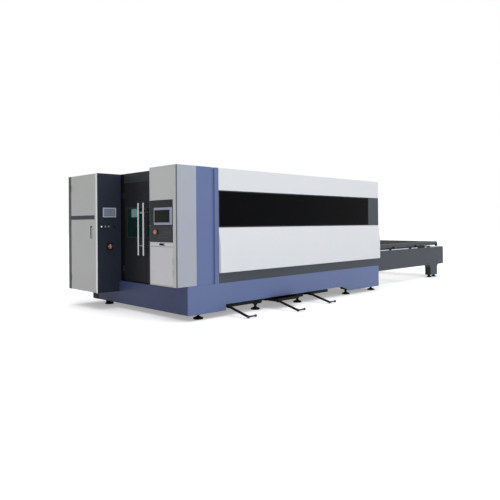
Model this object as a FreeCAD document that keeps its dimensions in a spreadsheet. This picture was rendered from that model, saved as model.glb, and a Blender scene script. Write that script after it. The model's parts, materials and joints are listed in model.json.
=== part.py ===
import FreeCAD, Part
import math
import os
import re
import Sketcher

# Fibre laser cutting machine with a closed cabin and a two-level exchange table.
# Lengths are in millimetres. +X runs along the cabin to the exchange table, +Y goes
# from the window side to the service side, +Z is up, and the floor is z = 0.
# Corners are counted from the console's outer floor corner, and the row origin is
# the middle of the whole footprint.

SIZES = {
    # stacked heights of the cabin
    "floor_gap": 85,
    "skirt_raise": 94,
    "base_height": 424,
    "kick_height": 155,
    "lower_panel_height": 685,
    "window_height": 562,
    "upper_panel_height": 339,
    # stacked lengths along X
    "console_depth": 355,
    "column_width": 429,
    "window_length": 4046,
    "post_width": 365,
    "table_length": 3685,
    "overhang": 205,
    # stacked widths along Y
    "console_width": 667,
    "doorway_width": 1229,
    "laser_back_reach": 124,
    "base_width": 2800,
    # sheet metal and walls
    "wall": 40,
    "skin": 18,
    "skirt_skin": 30,
    "end_skin": 60,
    "pane": 6,
    "pane_inset": 6,
    "seam": 3,
    "door_gap": 2,
    "hinge_radius": 7,
    "hinge_length": 90,
    "hinge_leaf": 34,
    "hinge_sheet": 3,
    "hinge_inset": 160,
    "running_gap": 0.3,
    "round_sides": 16,
    "small_sides": 8,
    "hex_sides": 6,
    # blue skirts and corner column
    "threshold_drop": 50,
    "laser_seat_drop": 226,
    "deep_front": 716,
    "raised_length": 2980,
    "slope_length": 249,
    "groove_offset": 292,
    "groove_width": 59,
    "groove_depth": 25,
    "panel_bulge": 40,
    "bulge_drop": 270,
    # doorway
    "door_recess": 39,
    "frame_thickness": 60,
    "door_thickness": 40,
    "left_post": 112,
    "right_post": 143,
    "meeting_line": 466,
    "meeting_gap": 6,
    "lintel_height": 160,
    "door_window_side": 98,
    "door_window_top": 415,
    "door_window_height": 476,
    "grip_radius": 19,
    "grip_length": 825,
    "grip_standoff": 94,
    "grip_edge": 69,
    "grip_drop": 350,
    "grip_foot_inset": 150,
    "grip_foot_radius": 12,
    # operator console
    "corner_slot": 14,
    "stile_right": 68,
    "stile_left": 16,
    "rail_width": 12,
    "fascia_height": 481,
    "control_height": 612,
    "control_inset": 4,
    "bezel_rise": 14,
    "bezel_width": 450,
    "bezel_height": 252,
    "bezel_drop": 110,
    "bezel_side": 11,
    "screen_width": 364,
    "screen_height": 170,
    "screen_side": 61,
    "stop_head_radius": 35,
    "stop_head_height": 24,
    "stop_stem_radius": 12,
    "stop_travel": 5,
    "stop_collar_radius": 24,
    "stop_collar_height": 18,
    "stop_side": 168,
    "stop_rise": 146,
    "drawer_front_height": 65,
    "tray_depth": 270,
    "tray_height": 24,
    "tray_sheet": 3,
    "tray_side": 20,
    "keyboard_width": 400,
    "keyboard_setback": 54,
    "keyboard_depth": 150,
    "keyboard_height": 14,
    "finger_width": 121,
    "finger_height": 22,
    # laser source cabinet
    "laser_overhang": 188,
    "laser_depth": 900,
    "laser_skin": 20,
    "trim_width": 64,
    "hinge_stile": 95,
    "stripe_height": 68,
    "stripe_rise": 1210,
    "stripe_depth": 4,
    "stripe_inset": 30,
    "lock_drop": 865,
    "lock_side": 140,
    "lock_length": 212,
    "lock_width": 26,
    "lock_rise": 16,
    "source_width": 620,
    "source_depth": 620,
    "source_height": 420,
    "source_lift": 360,
    "display_start": 96,
    "display_width": 240,
    "display_height": 158,
    "display_drop": 566,
    "display_rise": 14,
    "display_border": 20,
    "switch_drop": 877,
    "switch_radius": 14,
    "switch_height": 24,
    "collar_height": 10,
    "collar_wall": 5,
    "lever_width": 8,
    "key_start": 132,
    "key_pitch": 59,
    "lamp_start": 68,
    "lamp_height": 18,
    "button_start": 304,
    "button_travel": 4,
    "isolator_start": 214,
    "isolator_drop": 1207,
    "isolator_radius": 40,
    "isolator_height": 36,
    "isolator_plate": 110,
    "isolator_grip_width": 20,
    "isolator_grip_length": 76,
    # bed
    "bed_clear": 190,
    "bed_top": 1000,
    "bed_beam_width": 270,
    "bed_end_width": 120,
    "bed_cross_width": 80,
    "bed_cross_height": 140,
    "foot_inset": 125,
    "foot_radius": 75,
    "foot_height": 20,
    "stem_radius": 20,
    "foot_block": 280,
    "foot_block_width": 120,
    "foot_block_height": 90,
    "foot_block_slope": 60,
    "foot_first": 474,
    "foot_second": 1669,
    "foot_third": 2727,
    "foot_fourth": 4188,
    "foot_fifth": 5080,
    "front_foot_x": 336,
    "front_foot_y": 2455,
    # scrap drawers and their tow bars
    "scrap_width": 560,
    "scrap_depth": 1200,
    "scrap_height": 46,
    "scrap_bottom": 125,
    "scrap_sheet": 3,
    "scrap_first": 940,
    "scrap_second": 1890,
    "scrap_third": 2905,
    "scrap_inset": 10,
    "scrap_pulled": 150,
    "runner_width": 40,
    "runner_sheet": 5,
    "tow_offset": 35,
    "tow_rise": 12,
    "tow_radius": 17,
    "tow_length": 420,
    "tow_grip_length": 190,
    "tow_slope": 14.5,
    "tow_eye_radius": 20,
    "tow_eye_length": 44,
    "tow_pin_radius": 8,
    "tow_pin_gap": 0.06,
    "lug_thickness": 8,
    "lug_reach": 46,
    # gantry
    "rail_width_x": 34,
    "rail_height_x": 28,
    "rack_height": 20,
    "gantry_start": 2840,
    "truck_length": 420,
    "truck_height": 90,
    "truck_width": 130,
    "beam_depth": 210,
    "beam_height": 230,
    "carriage_width": 260,
    "carriage_depth": 45,
    "carriage_height": 320,
    "carriage_hang": 60,
    "slide_width": 120,
    "slide_depth": 40,
    "slide_height": 300,
    "head_radius": 38,
    "head_height": 230,
    "head_seat": 8,
    "nozzle_height": 90,
    "nozzle_radius": 8,
    "nozzle_top_radius": 30,
    "nozzle_gap": 26,
    # exchange table and pallets
    "table_inset": 360,
    "table_bottom": 325,
    "table_top": 766,
    "table_web": 6,
    "table_flange": 50,
    "flange_thickness": 12,
    "table_cross": 90,
    "table_beams": 3,
    "track_width": 38,
    "track_height": 20,
    "track_start": 1250,
    "track_end_gap": 90,
    "level_drop": 220,
    "opening_margin": 24,
    "opening_height": 440,
    "leg_bottom_height": 62,
    "leg_offset": 340,
    "leg_width": 350,
    "leg_depth": 150,
    "leg_flare": 70,
    "table_foot_radius": 55,
    "table_foot_inset": 55,
    "wheel_radius": 28,
    "wheel_width": 30,
    "wheel_pairs": 4,
    "wheel_first": 85,
    "wheel_pitch": 1040,
    "hub_radius": 11,
    "pallet_start": 135,
    "pallet_length": 3290,
    "pallet_beam": 60,
    "pallet_beam_height": 92,
    "pallet_beam_lift": 26,
    "pallet_track_gap": 3,
    "inner_pallet_gap": 250,
    "slat_count": 24,
    "slat_teeth": 8,
    "slat_thickness": 5,
    "slat_height": 72,
    "tooth_height": 16,
    "drive_lift": 100,
    "drive_inset": 100,
    "drive_radius": 20,
    "sprocket_radius": 45,
    "sprocket_width": 14,
    "motor_size": 120,
    "motor_radius": 55,
    "motor_flange_depth": 30,
    "motor_length": 210,
    # service side
    "port_radius": 125,
    "port_sheet": 4,
    "port_length": 60,
    "port_rise": 250,
    "port_place": 3000,
    "roof_bays": 3,
}

doc = FreeCAD.newDocument("laser_cutting_machine")
sheet = doc.addObject("Spreadsheet::Sheet", "Sizes")
for row, (word, value) in enumerate(SIZES.items(), start=1):
    sheet.set(f"A{row}", word)
    sheet.set(f"B{row}", str(value))
    sheet.setAlias(f"B{row}", word)
doc.recompute()

# Heights, lengths and widths that follow from the stacked sizes
base_top = "(floor_gap + base_height)"
kick_top = f"({base_top} + kick_height)"
window_bottom = f"({kick_top} + lower_panel_height)"
window_top = f"({window_bottom} + window_height)"
cabin_top = f"({window_top} + upper_panel_height)"
threshold_top = f"({base_top} - threshold_drop)"
laser_bottom = f"({base_top} - laser_seat_drop)"
column_end = "(console_depth + column_width)"
window_end = f"({column_end} + window_length)"
cabin_end = f"({window_end} + post_width)"
table_end = f"({cabin_end} + table_length)"
door_plane = "(overhang + door_recess)"
doorway_end = "(console_width + doorway_width)"
laser_back = "(base_width + laser_back_reach)"
laser_width = f"({laser_back} - {doorway_end})"
laser_room_end = "(laser_depth - laser_overhang)"
bed_inner = "(table_inset + table_web)"
bed_outer = f"({bed_inner} - bed_beam_width)"
bed_start = laser_room_end
bed_length = f"({cabin_end} - wall - {bed_start})"
lower_track_top = "(table_top + track_height - level_drop)"
upper_track_top = "(table_top + track_height)"
pallet_top = f"({upper_track_top} + pallet_beam_lift + pallet_beam_height)"
scrap_out = "(scrap_inset - scrap_pulled)"
tow_reach = "(lug_reach - tow_eye_radius + tow_length * cos(tow_slope * 1deg) + tow_radius)"
origin_x = f"(({table_end} - laser_overhang - lock_rise) / 2)"
origin_y = f"(({laser_back} + {scrap_out} - {tow_reach}) / 2)"

ALONG_X = FreeCAD.Rotation(FreeCAD.Vector(0, 1, 0), 90)
ALONG_Y = FreeCAD.Rotation(FreeCAD.Vector(1, 0, 0), -90)
ALONG_Z = FreeCAD.Rotation()


def bound(formula):
    """Point each size's name in a formula at its cell."""
    def cell(match):
        word = match.group(0)
        return f"Sizes.{word}" if word in SIZES else word
    return re.sub(r"[A-Za-z_][A-Za-z_0-9]*", cell, formula)


def number(word):
    """The plain number that the sheet holds under a name."""
    return float(getattr(sheet, word))


def put(piece, corner):
    """Tie a piece's corner, counted from the console's floor corner, to the row frame."""
    x, y, z = corner
    piece.setExpression("Placement.Base.x", bound(f"{x} - {origin_x}"))
    piece.setExpression("Placement.Base.y", bound(f"{y} - {origin_y}"))
    piece.setExpression("Placement.Base.z", bound(z))
    return piece


def block(label, corner, lengths):
    """A rectangular solid from its lowest corner."""
    piece = doc.addObject("Part::Box", label)
    for side, formula in zip(("Length", "Width", "Height"), lengths):
        piece.setExpression(side, bound(formula))
    return put(piece, corner)


def rod(label, centre, direction, radius, length):
    """A round bar from the centre of its first end."""
    piece = doc.addObject("Part::Cylinder", label)
    piece.Placement = FreeCAD.Placement(FreeCAD.Vector(), direction)
    piece.setExpression("Radius", bound(radius))
    piece.setExpression("Height", bound(length))
    return put(piece, centre)


def faceted(label, centre, direction, sides, radius, length):
    """A bar of regular section, for small round and hexagonal pieces that repeat."""
    piece = doc.addObject("Part::Prism", label)
    piece.Placement = FreeCAD.Placement(FreeCAD.Vector(), direction)
    piece.setExpression("Polygon", bound(sides))
    piece.setExpression("Circumradius", bound(radius))
    piece.setExpression("Height", bound(length))
    return put(piece, centre)


def cone(label, centre, low_radius, high_radius, height):
    """An upright cone from the centre of its lower end."""
    piece = doc.addObject("Part::Cone", label)
    piece.setExpression("Radius1", bound(low_radius))
    piece.setExpression("Radius2", bound(high_radius))
    piece.setExpression("Height", bound(height))
    return put(piece, centre)


def weld(label, pieces):
    """One solid from pieces that overlap or share faces."""
    joined = doc.addObject("Part::MultiFuse", label)
    joined.Shapes = pieces
    joined.Refine = True
    return joined


def carve(label, base, tools):
    """The base piece without the room that the tools take."""
    piece = doc.addObject("Part::Cut", label)
    piece.Base = base
    piece.Tool = tools[0] if len(tools) == 1 else weld(label + "_tools", tools)
    return piece


def gather(label, pieces):
    """Separate solids of one kind that share a node."""
    group = doc.addObject("Part::Compound", label)
    group.Links = pieces
    return group


def origin_feature(body, role):
    """The body's own base plane or axis with this role."""
    return [feature for feature in body.Origin.OriginFeatures if feature.Role == role][0]


def profile(label, corner, plane, outline, thickness):
    """A plate cut to an outline: a sketch on the body's plane, padded along +X, +Y or +Z."""
    body = doc.addObject("PartDesign::Body", label)
    sketch = body.newObject("Sketcher::SketchObject", label + "_outline")
    sketch.AttachmentSupport = (origin_feature(body, plane), [""])
    sketch.MapMode = "FlatFace"
    count = len(outline)
    reach = 100.0
    turns = [2 * math.pi * index / count for index in range(count)]
    guess = [FreeCAD.Vector(reach * (2 + math.cos(turn)), reach * (2 + math.sin(turn)), 0) for turn in turns]
    for index in range(count):
        sketch.addGeometry(Part.LineSegment(guess[index], guess[(index + 1) % count]), False)
    for index in range(count):
        sketch.addConstraint(Sketcher.Constraint("Coincident", index, 2, (index + 1) % count, 1))
    for index, (across, up) in enumerate(outline):
        ties = (("DistanceX", across, -2, guess[index].x), ("DistanceY", up, -1, guess[index].y))
        for kind, formula, axis, start in ties:
            if formula == "0":
                sketch.addConstraint(Sketcher.Constraint("PointOnObject", index, 1, axis))
            else:
                place = sketch.addConstraint(Sketcher.Constraint(kind, -1, 1, index, 1, start))
                sketch.setExpression(f"Constraints[{place}]", bound(formula))
    pad = body.newObject("PartDesign::Pad", label + "_pad")
    pad.Profile = sketch
    pad.Reversed = plane == "XZ_Plane"
    pad.setExpression("Length", bound(thickness))
    return put(body, corner)


def mirrored_y(start, width):
    """The same place on the service side of the base."""
    return f"(base_width - {start} - {width})"


nodes = []


def keep(piece):
    """Count a finished piece as a node of the machine."""
    nodes.append(piece)
    return piece


# --- base: bed, feet and blue skirts ---------------------------------------

def bed_frame():
    """Welded bed: two box beams, a low front frame with the door step, and cross beams."""
    height = "(bed_top - bed_clear)"
    inner_width = f"(base_width - 2 * {bed_inner})"
    pieces = []
    for side, place in (("near", bed_outer), ("far", mirrored_y(bed_outer, "bed_beam_width"))):
        pieces.append(block(f"bed_beam_{side}", (bed_start, place, "bed_clear"),
                            (bed_length, "bed_beam_width", height)))
    front = "(overhang + end_skin)"
    pieces.append(block("bed_front_frame", (front, bed_outer, "bed_clear"),
                        (f"{bed_start} - {front} + bed_end_width", f"base_width - 2 * {bed_outer}",
                         f"{laser_bottom} - bed_clear")))
    pieces.append(block("bed_step", (front, "console_width", laser_bottom),
                        (f"{bed_start} - {front}", "doorway_width", f"{threshold_top} - {laser_bottom}")))
    for index, foot in enumerate(("foot_second", "foot_third", "foot_fourth", "foot_fifth")):
        pieces.append(block(f"bed_cross_{index}", (f"{foot} - bed_cross_width / 2", bed_inner, "bed_clear"),
                            ("bed_cross_width", inner_width, "bed_cross_height")))
    return keep(weld("bed_frame", pieces))


def foot(label, x, y, top, radius):
    """A levelling foot: flat pad and hexagonal jack bolt up to what it carries."""
    pad = faceted(label + "_pad", (x, y, "0"), ALONG_Z, "round_sides", radius, "foot_height")
    stem = faceted(label + "_stem", (x, y, "foot_height"), ALONG_Z, "hex_sides", "stem_radius",
                   f"{top} - foot_height")
    return [pad, stem]


def levelling_feet():
    """Ten feet with their brackets under the bed, one under the laser cabinet, four under the table legs."""
    feet = []
    top = "(bed_clear - foot_block_height)"
    places = ("foot_first", "foot_second", "foot_third", "foot_fourth", "foot_fifth")
    for index, place in enumerate(places):
        length = "(foot_block / 2)" if index == len(places) - 1 else "foot_block"
        for side, y in (("near", "foot_inset"), ("far", "(base_width - foot_inset)")):
            label = f"foot_{side}_{index}"
            outline = [("foot_block_slope", "0"), (f"{length} - foot_block_slope", "0"),
                       (length, "foot_block_height"), ("0", "foot_block_height")]
            corner = (f"{place} - {length} / 2", f"{y} - foot_block_width / 2", top)
            bracket = profile(label + "_bracket", corner, "XZ_Plane", outline, "foot_block_width")
            feet.append(weld(label, foot(label, place, y, top, "foot_radius") + [bracket]))
    front = foot("foot_front", "front_foot_x", "front_foot_y", "bed_clear", "foot_radius")
    feet.append(weld("foot_front", front))
    leg_start = f"({table_end} - leg_offset - leg_width)"
    leg_end = f"({table_end} - leg_offset)"
    for index, x in enumerate((f"({leg_start} + table_foot_inset)", f"({leg_end} - table_foot_inset)")):
        for side, y in (("near", "(table_inset + leg_depth / 2)"),
                        ("far", "(base_width - table_inset - leg_depth / 2)")):
            label = f"table_foot_{side}_{index}"
            feet.append(weld(label, foot(label, x, y, "leg_bottom_height", "table_foot_radius")))
    return keep(gather("levelling_feet", feet))


def skirts():
    """Blue skirts: the window side rises over the drawers, the front steps down to the laser cabinet."""
    length = f"({cabin_end} - overhang)"
    raised_start = "deep_front"
    raised_end = "(deep_front + raised_length)"
    slope_end = f"({raised_end} + slope_length)"
    outline = [("0", "0"), (raised_start, "0"), (raised_start, "skirt_raise"), (raised_end, "skirt_raise"),
               (slope_end, "0"), (length, "0"), (length, "base_height"), ("0", "base_height")]
    keep(profile("side_skirt", ("overhang", "0", "floor_gap"), "XZ_Plane", outline, "skirt_skin"))
    low = "(base_height - laser_seat_drop)"
    middle = "(base_height - threshold_drop)"
    inner = "(base_width - 2 * skirt_skin)"
    first = "(console_width - skirt_skin)"
    second = f"({doorway_end} - skirt_skin)"
    outline = [("0", "0"), (inner, "0"), (inner, low), (second, low), (second, middle), (first, middle),
               (first, "base_height"), ("0", "base_height")]
    keep(profile("end_skirt", ("overhang", "skirt_skin", "floor_gap"), "YZ_Plane", outline, "end_skin"))
    seat_end = f"({laser_room_end} - overhang)"
    outline = [("0", "0"), (length, "0"), (length, "base_height"), (seat_end, "base_height"),
               (seat_end, low), ("0", low)]
    back = profile("back_skirt_plate", ("overhang", "base_width - skirt_skin", "floor_gap"), "XZ_Plane",
                   outline, "skirt_skin")
    port_z = "(floor_gap + port_rise)"
    port = rod("port_tube", ("port_place", "base_width", port_z), ALONG_Y, "port_radius", "port_length")
    bore = rod("port_bore", ("port_place", "base_width - skirt_skin", port_z), ALONG_Y,
               "port_radius - port_sheet", "port_length + skirt_skin")
    back = carve("back_skirt", weld("back_skirt_port", [back, port]), [bore])
    end = block("table_end_skirt", (f"{cabin_end} - skirt_skin", "skirt_skin", "floor_gap"),
                ("skirt_skin", inner, "base_height"))
    keep(gather("rear_skirts", [back, end]))


# --- cabin walls -------------------------------------------------------------

def window_side():
    """Column, white panels, tinted window, end post and kick band along the window side."""
    groove_end = "(groove_offset + groove_width)"
    outline = [("0", "0"), ("groove_offset", "0"), ("groove_offset", "groove_depth"),
               (groove_end, "groove_depth"), (groove_end, "0"), ("column_width", "0"),
               ("column_width", "wall"), ("0", "wall")]
    keep(profile("corner_column", ("console_depth", "0", base_top), "XY_Plane", outline,
                 f"{cabin_top} - {base_top}"))
    long_side = f"({cabin_end} - {column_end})"
    kick = block("kick_band", (column_end, "0", base_top), (long_side, "wall", "kick_height"))
    post = block("window_end_post", (window_end, "0", window_bottom), ("post_width", "wall", "window_height"))
    keep(gather("grey_side_panels", [kick, post]))
    outline = [("0", "0"), ("panel_bulge + wall", "0"), ("panel_bulge + wall", "lower_panel_height"),
               ("panel_bulge", "lower_panel_height"), ("0", "lower_panel_height - bulge_drop")]
    keep(profile("lower_side_panel", (column_end, "-panel_bulge", kick_top), "YZ_Plane", outline, long_side))
    keep(block("side_window", (column_end, "pane_inset", window_bottom),
               ("window_length", "pane", "window_height")))
    keep(block("upper_side_panel", (column_end, "0", window_top), (long_side, "wall", "upper_panel_height")))


def closed_sides():
    """Service side, wall at the table end with the pallet opening, and roof panels."""
    back_y = "base_width - wall"
    height = f"({cabin_top} - {base_top})"
    bay = f"(({cabin_end} - {laser_room_end}) / roof_bays)"
    bays = int(number("roof_bays"))
    panels = []
    for index in range(bays):
        panels.append(block(f"back_panel_{index}", (f"{laser_room_end} + {bay} * {index}", back_y, base_top),
                            (f"{bay} - seam * {int(index < bays - 1)}", "wall", height)))
    keep(gather("back_panels", panels))
    inner = "(base_width - 2 * wall)"
    margin = "(table_inset - wall - opening_margin)"
    far = f"({inner} - {margin})"
    outline = [("0", "0"), (margin, "0"), (margin, "opening_height"), (far, "opening_height"), (far, "0"),
               (inner, "0"), (inner, height), ("0", height)]
    keep(profile("table_end_wall", (f"{cabin_end} - wall", "wall", base_top), "YZ_Plane", outline, "wall"))
    roof_low = f"{cabin_top} - wall"
    start = f"({door_plane} + frame_thickness)"
    roof = [
        block("roof_over_console", ("console_depth", "wall", roof_low),
              (f"{laser_room_end} - console_depth - seam", "console_width - wall - seam", "wall")),
        block("roof_over_doorway", (start, "console_width", roof_low),
              (f"{laser_room_end} - {start} - seam", "doorway_width", "wall")),
    ]
    for index in range(bays):
        last = f"{bay} - seam" if index < bays - 1 else f"{bay} - wall"
        roof.append(block(f"roof_bay_{index}", (f"{laser_room_end} + {bay} * {index}", "wall", roof_low),
                          (last, inner, "wall")))
    keep(gather("roof_panels", roof))


# --- doorway -------------------------------------------------------------------

door_low = f"({threshold_top} + rail_width)"
door_high = f"({cabin_top} - lintel_height)"
door_height = f"({door_high} - {door_low} - 2 * door_gap)"
right_edge = "(console_width + right_post)"
left_edge = f"({doorway_end} - left_post)"
meeting = "(console_width + meeting_line)"
right_leaf_width = f"({meeting} - meeting_gap / 2 - {right_edge} - door_gap)"
left_leaf_width = f"({left_edge} - door_gap - {meeting} - meeting_gap / 2)"


def door_frame():
    """Black frame round the doorway, standing on the threshold, with the broader post by the console."""
    height = f"({cabin_top} - {threshold_top})"
    outer = block("door_frame_plate", (door_plane, "console_width", threshold_top),
                  ("frame_thickness", "doorway_width", height))
    hole = block("door_frame_hole", (door_plane, right_edge, door_low),
                 ("frame_thickness", f"{left_edge} - {right_edge}", f"{door_high} - {door_low}"))
    return keep(carve("door_frame", outer, [hole]))


def entry_door(side, start, leaf_width, grip_y):
    """One swing door: leaf with a window hole, green pane and a tubular pull handle."""
    window_low = f"({door_high} - door_window_top - door_window_height)"
    window_start = f"({start} + door_window_side)"
    window_width = f"({leaf_width} - 2 * door_window_side)"
    leaf = block(f"{side}_leaf", (door_plane, start, f"{door_low} + door_gap"),
                 ("door_thickness", leaf_width, door_height))
    hole = block(f"{side}_hole", (door_plane, window_start, window_low),
                 ("door_thickness", window_width, "door_window_height"))
    keep(carve(f"{side}_door", leaf, [hole]))
    keep(block(f"{side}_door_window", (f"{door_plane} + pane", window_start, window_low),
               ("pane", window_width, "door_window_height")))
    grip_top = f"({door_high} - grip_drop)"
    grip_low = f"({grip_top} - grip_length)"
    grip_x = f"({door_plane} - grip_standoff)"
    bars = [faceted(f"{side}_grip", (grip_x, grip_y, grip_low), ALONG_Z, "round_sides", "grip_radius",
                    "grip_length")]
    for index, height in enumerate((f"{grip_low} + grip_foot_inset", f"{grip_top} - grip_foot_inset")):
        bars.append(faceted(f"{side}_grip_foot_{index}", (grip_x, grip_y, height), ALONG_X, "small_sides",
                            "grip_foot_radius", "grip_standoff"))
    keep(weld(f"{side}_door_handle", bars))


# --- operator console ------------------------------------------------------------

face_start = "(skin + stile_right)"
face_end = "(console_width - stile_left)"
face_width = f"({face_end} - {face_start})"
control_top = f"({cabin_top} - rail_width - fascia_height)"
control_low = f"({control_top} - control_height)"
drawer_low = f"({control_low} - drawer_front_height)"


tray_start = f"({face_start} + door_gap + tray_side)"
tray_width = f"({face_width} - 2 * door_gap - 2 * tray_side)"


def drawer_runners():
    """Two runners on the shell's inner walls, one each side of the keyboard tray."""
    low = f"({drawer_low} + door_gap)"
    left_start = f"({tray_start} + {tray_width} + running_gap)"
    right = block("drawer_runner_right", ("skin", "skin * 2", low),
                  ("tray_depth - skin", f"{tray_start} - running_gap - skin * 2", "tray_height"))
    left = block("drawer_runner_left", ("skin", left_start, low),
                 ("tray_depth - skin", f"console_width - skin - {left_start}", "tray_height"))
    return [right, left]


def console():
    """Cabinet shell, side cover, face frame, fascia, control panel and screen."""
    height = f"({cabin_top} - {base_top})"
    shell = block("console_box", ("skin", "skin", base_top),
                  ("console_depth - skin", "console_width - skin", height))
    room = block("console_room", ("skin", "skin * 2", f"{base_top} + skin"),
                 ("console_depth - 2 * skin", "console_width - skin * 3", f"{height} - 2 * skin"))
    shell = carve("console_hollow", shell, [room])
    keep(block("console_side_cover", ("corner_slot", "0", base_top),
               ("console_depth - corner_slot", "skin", height)))
    frame = block("console_frame_plate", ("0", "skin", base_top), ("skin", "console_width - skin", height))
    hole = block("console_frame_hole", ("0", face_start, f"{base_top} + rail_width"),
                 ("skin", face_width, f"{height} - 2 * rail_width"))
    frame = carve("console_frame", frame, [hole])
    keep(weld("console_shell", [shell, frame] + drawer_runners()))
    keep(block("console_fascia", ("0", face_start, control_top), ("skin", face_width, "fascia_height")))
    keep(block("control_panel", ("control_inset", face_start, control_low),
               ("skin - control_inset", face_width, "control_height")))
    bezel_y = f"({face_start} + bezel_side)"
    bezel_z = f"({control_top} - bezel_drop - bezel_height)"
    border = "((bezel_height - screen_height) / 2)"
    screen_y = f"({bezel_y} + screen_side)"
    screen_z = f"({bezel_z} + {border})"
    bezel = block("bezel_plate", ("control_inset - bezel_rise", bezel_y, bezel_z),
                  ("bezel_rise", "bezel_width", "bezel_height"))
    hole = block("bezel_hole", ("control_inset - bezel_rise", screen_y, screen_z),
                 ("bezel_rise", "screen_width", "screen_height"))
    keep(carve("monitor_bezel", bezel, [hole]))
    keep(block("monitor_screen", ("control_inset - bezel_rise / 2", screen_y, screen_z),
               ("bezel_rise / 2", "screen_width", "screen_height")))


stop_y = f"({face_end} - stop_side)"
stop_z = f"({control_low} + stop_rise)"
stop_collar_x = "(control_inset - stop_collar_height)"


def stop_collar():
    """Fixed collar of the emergency stop."""
    place = (stop_collar_x, stop_y, stop_z)
    ring = faceted("stop_collar_ring", place, ALONG_X, "hex_sides", "stop_collar_radius",
                   "stop_collar_height")
    bore = faceted("stop_collar_bore", place, ALONG_X, "round_sides", "stop_stem_radius + running_gap",
                   "stop_collar_height")
    return carve("stop_collar", ring, [bore])


def emergency_stop():
    """Mushroom head on the stem that slides in the collar."""
    head_x = f"({stop_collar_x} - stop_travel - running_gap - stop_head_height)"
    head = faceted("stop_head", (head_x, stop_y, stop_z), ALONG_X, "round_sides", "stop_head_radius",
                   "stop_head_height")
    stem = faceted("stop_stem", (f"{head_x} + stop_head_height", stop_y, stop_z), ALONG_X, "round_sides",
                   "stop_stem_radius", "stop_travel + stop_collar_height / 2")
    keep(weld("emergency_stop", [head, stem]))


def keyboard_drawer():
    """Drawer behind the light strip: front with a finger slot, tray and keyboard."""
    front_y = f"({face_start} + door_gap)"
    front_width = f"({face_width} - 2 * door_gap)"
    front_height = "(drawer_front_height - 2 * door_gap)"
    front_z = f"({drawer_low} + door_gap)"
    front = block("drawer_front_plate", ("0", front_y, front_z), ("skin", front_width, front_height))
    slot = block("drawer_finger_slot",
                 ("0", f"{front_y} + ({front_width} - finger_width) / 2",
                  f"{front_z} + ({front_height} - finger_height) / 2"),
                 ("skin", "finger_width", "finger_height"))
    front = carve("drawer_front", front, [slot])
    tray = block("drawer_tray_block", ("skin", tray_start, front_z),
                 ("tray_depth", tray_width, "tray_height"))
    room = block("drawer_tray_room", ("skin", f"{tray_start} + tray_sheet", f"{front_z} + tray_sheet"),
                 ("tray_depth - tray_sheet", f"{tray_width} - 2 * tray_sheet", "tray_height - tray_sheet"))
    tray = carve("drawer_tray", tray, [room])
    keep(weld("keyboard_drawer", [front, tray]))
    keep(block("keyboard", ("keyboard_setback", f"{front_y} + ({front_width} - keyboard_width) / 2",
                            f"{front_z} + tray_sheet"),
               ("keyboard_depth", "keyboard_width", "keyboard_height")))


def console_door():
    """Lower door of the console."""
    low = f"({base_top} + rail_width + door_gap)"
    return keep(block("console_door", ("0", f"{face_start} + door_gap", low),
                      ("skin", f"{face_width} - 2 * door_gap", f"{drawer_low} - {low} - door_gap")))


# --- laser source cabinet ----------------------------------------------------------

laser_front = "(0 - laser_overhang)"
laser_door_start = f"({doorway_end} + trim_width + door_gap)"
laser_door_end = f"({laser_back} - hinge_stile - door_gap)"
laser_door_width = f"({laser_door_end} - {laser_door_start})"
laser_height = f"({cabin_top} - {laser_bottom})"


def laser_cabinet():
    """Navy cabinet with white corner trim, grey striped door and the laser source on its shelf."""
    shell = block("laser_box", (f"{laser_front} + laser_skin", doorway_end, laser_bottom),
                  ("laser_depth - laser_skin", laser_width, laser_height))
    stile = block("laser_hinge_stile", (laser_front, f"{laser_back} - hinge_stile", laser_bottom),
                  ("laser_skin", "hinge_stile", laser_height))
    room = block("laser_room", (laser_front, f"{doorway_end} + laser_skin", f"{laser_bottom} + laser_skin"),
                 ("laser_depth - laser_skin", f"{laser_width} - 2 * laser_skin",
                  f"{laser_height} - 2 * laser_skin"))
    keep(block("corner_trim", (laser_front, doorway_end, laser_bottom),
               ("laser_skin", "trim_width", laser_height)))
    source_y = f"({doorway_end} + ({laser_width} - source_width) / 2)"
    source_z = f"({laser_bottom} + source_lift)"
    source_x = f"({laser_room_end} - laser_skin - source_depth)"
    keep(block("laser_source", (source_x, source_y, source_z),
               ("source_depth", "source_width", "source_height")))
    shelf = block("source_shelf", (source_x, f"{doorway_end} + laser_skin", f"{source_z} - laser_skin"),
                  ("source_depth", f"{laser_width} - 2 * laser_skin", "laser_skin"))
    keep(weld("laser_cabinet_shell", [carve("laser_hollow", shell, [room]), stile, shelf]))


def laser_door():
    """Grey door with a recessed band and a swing lock."""
    low = f"({laser_bottom} + door_gap)"
    stripe_z = f"({laser_bottom} + stripe_rise)"
    stripe_width = f"({laser_door_width} - stripe_inset)"
    stripe_y = f"({laser_door_start} + stripe_inset)"
    leaf = block("laser_door_leaf", (laser_front, laser_door_start, low),
                 ("laser_skin - running_gap", laser_door_width, f"{laser_height} - 2 * door_gap"))
    groove = block("laser_door_groove", (laser_front, stripe_y, stripe_z),
                   ("stripe_depth", stripe_width, "stripe_height"))
    keep(carve("laser_cabinet_door", leaf, [groove]))
    lock_y = f"({laser_door_start} + lock_side)"
    lock_top = f"({cabin_top} - lock_drop)"
    handle = block("lock_bar", (f"{laser_front} - lock_rise", f"{lock_y} - lock_width / 2",
                                f"{lock_top} - lock_length"),
                   ("lock_rise / 2", "lock_width", "lock_length"))
    boss = rod("lock_boss", (f"{laser_front} - lock_rise / 2", lock_y, f"{lock_top} - lock_width / 2"),
               ALONG_X, "lock_width / 2", "lock_rise / 2 - running_gap")
    keep(weld("swing_lock", [handle, boss]))


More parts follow.
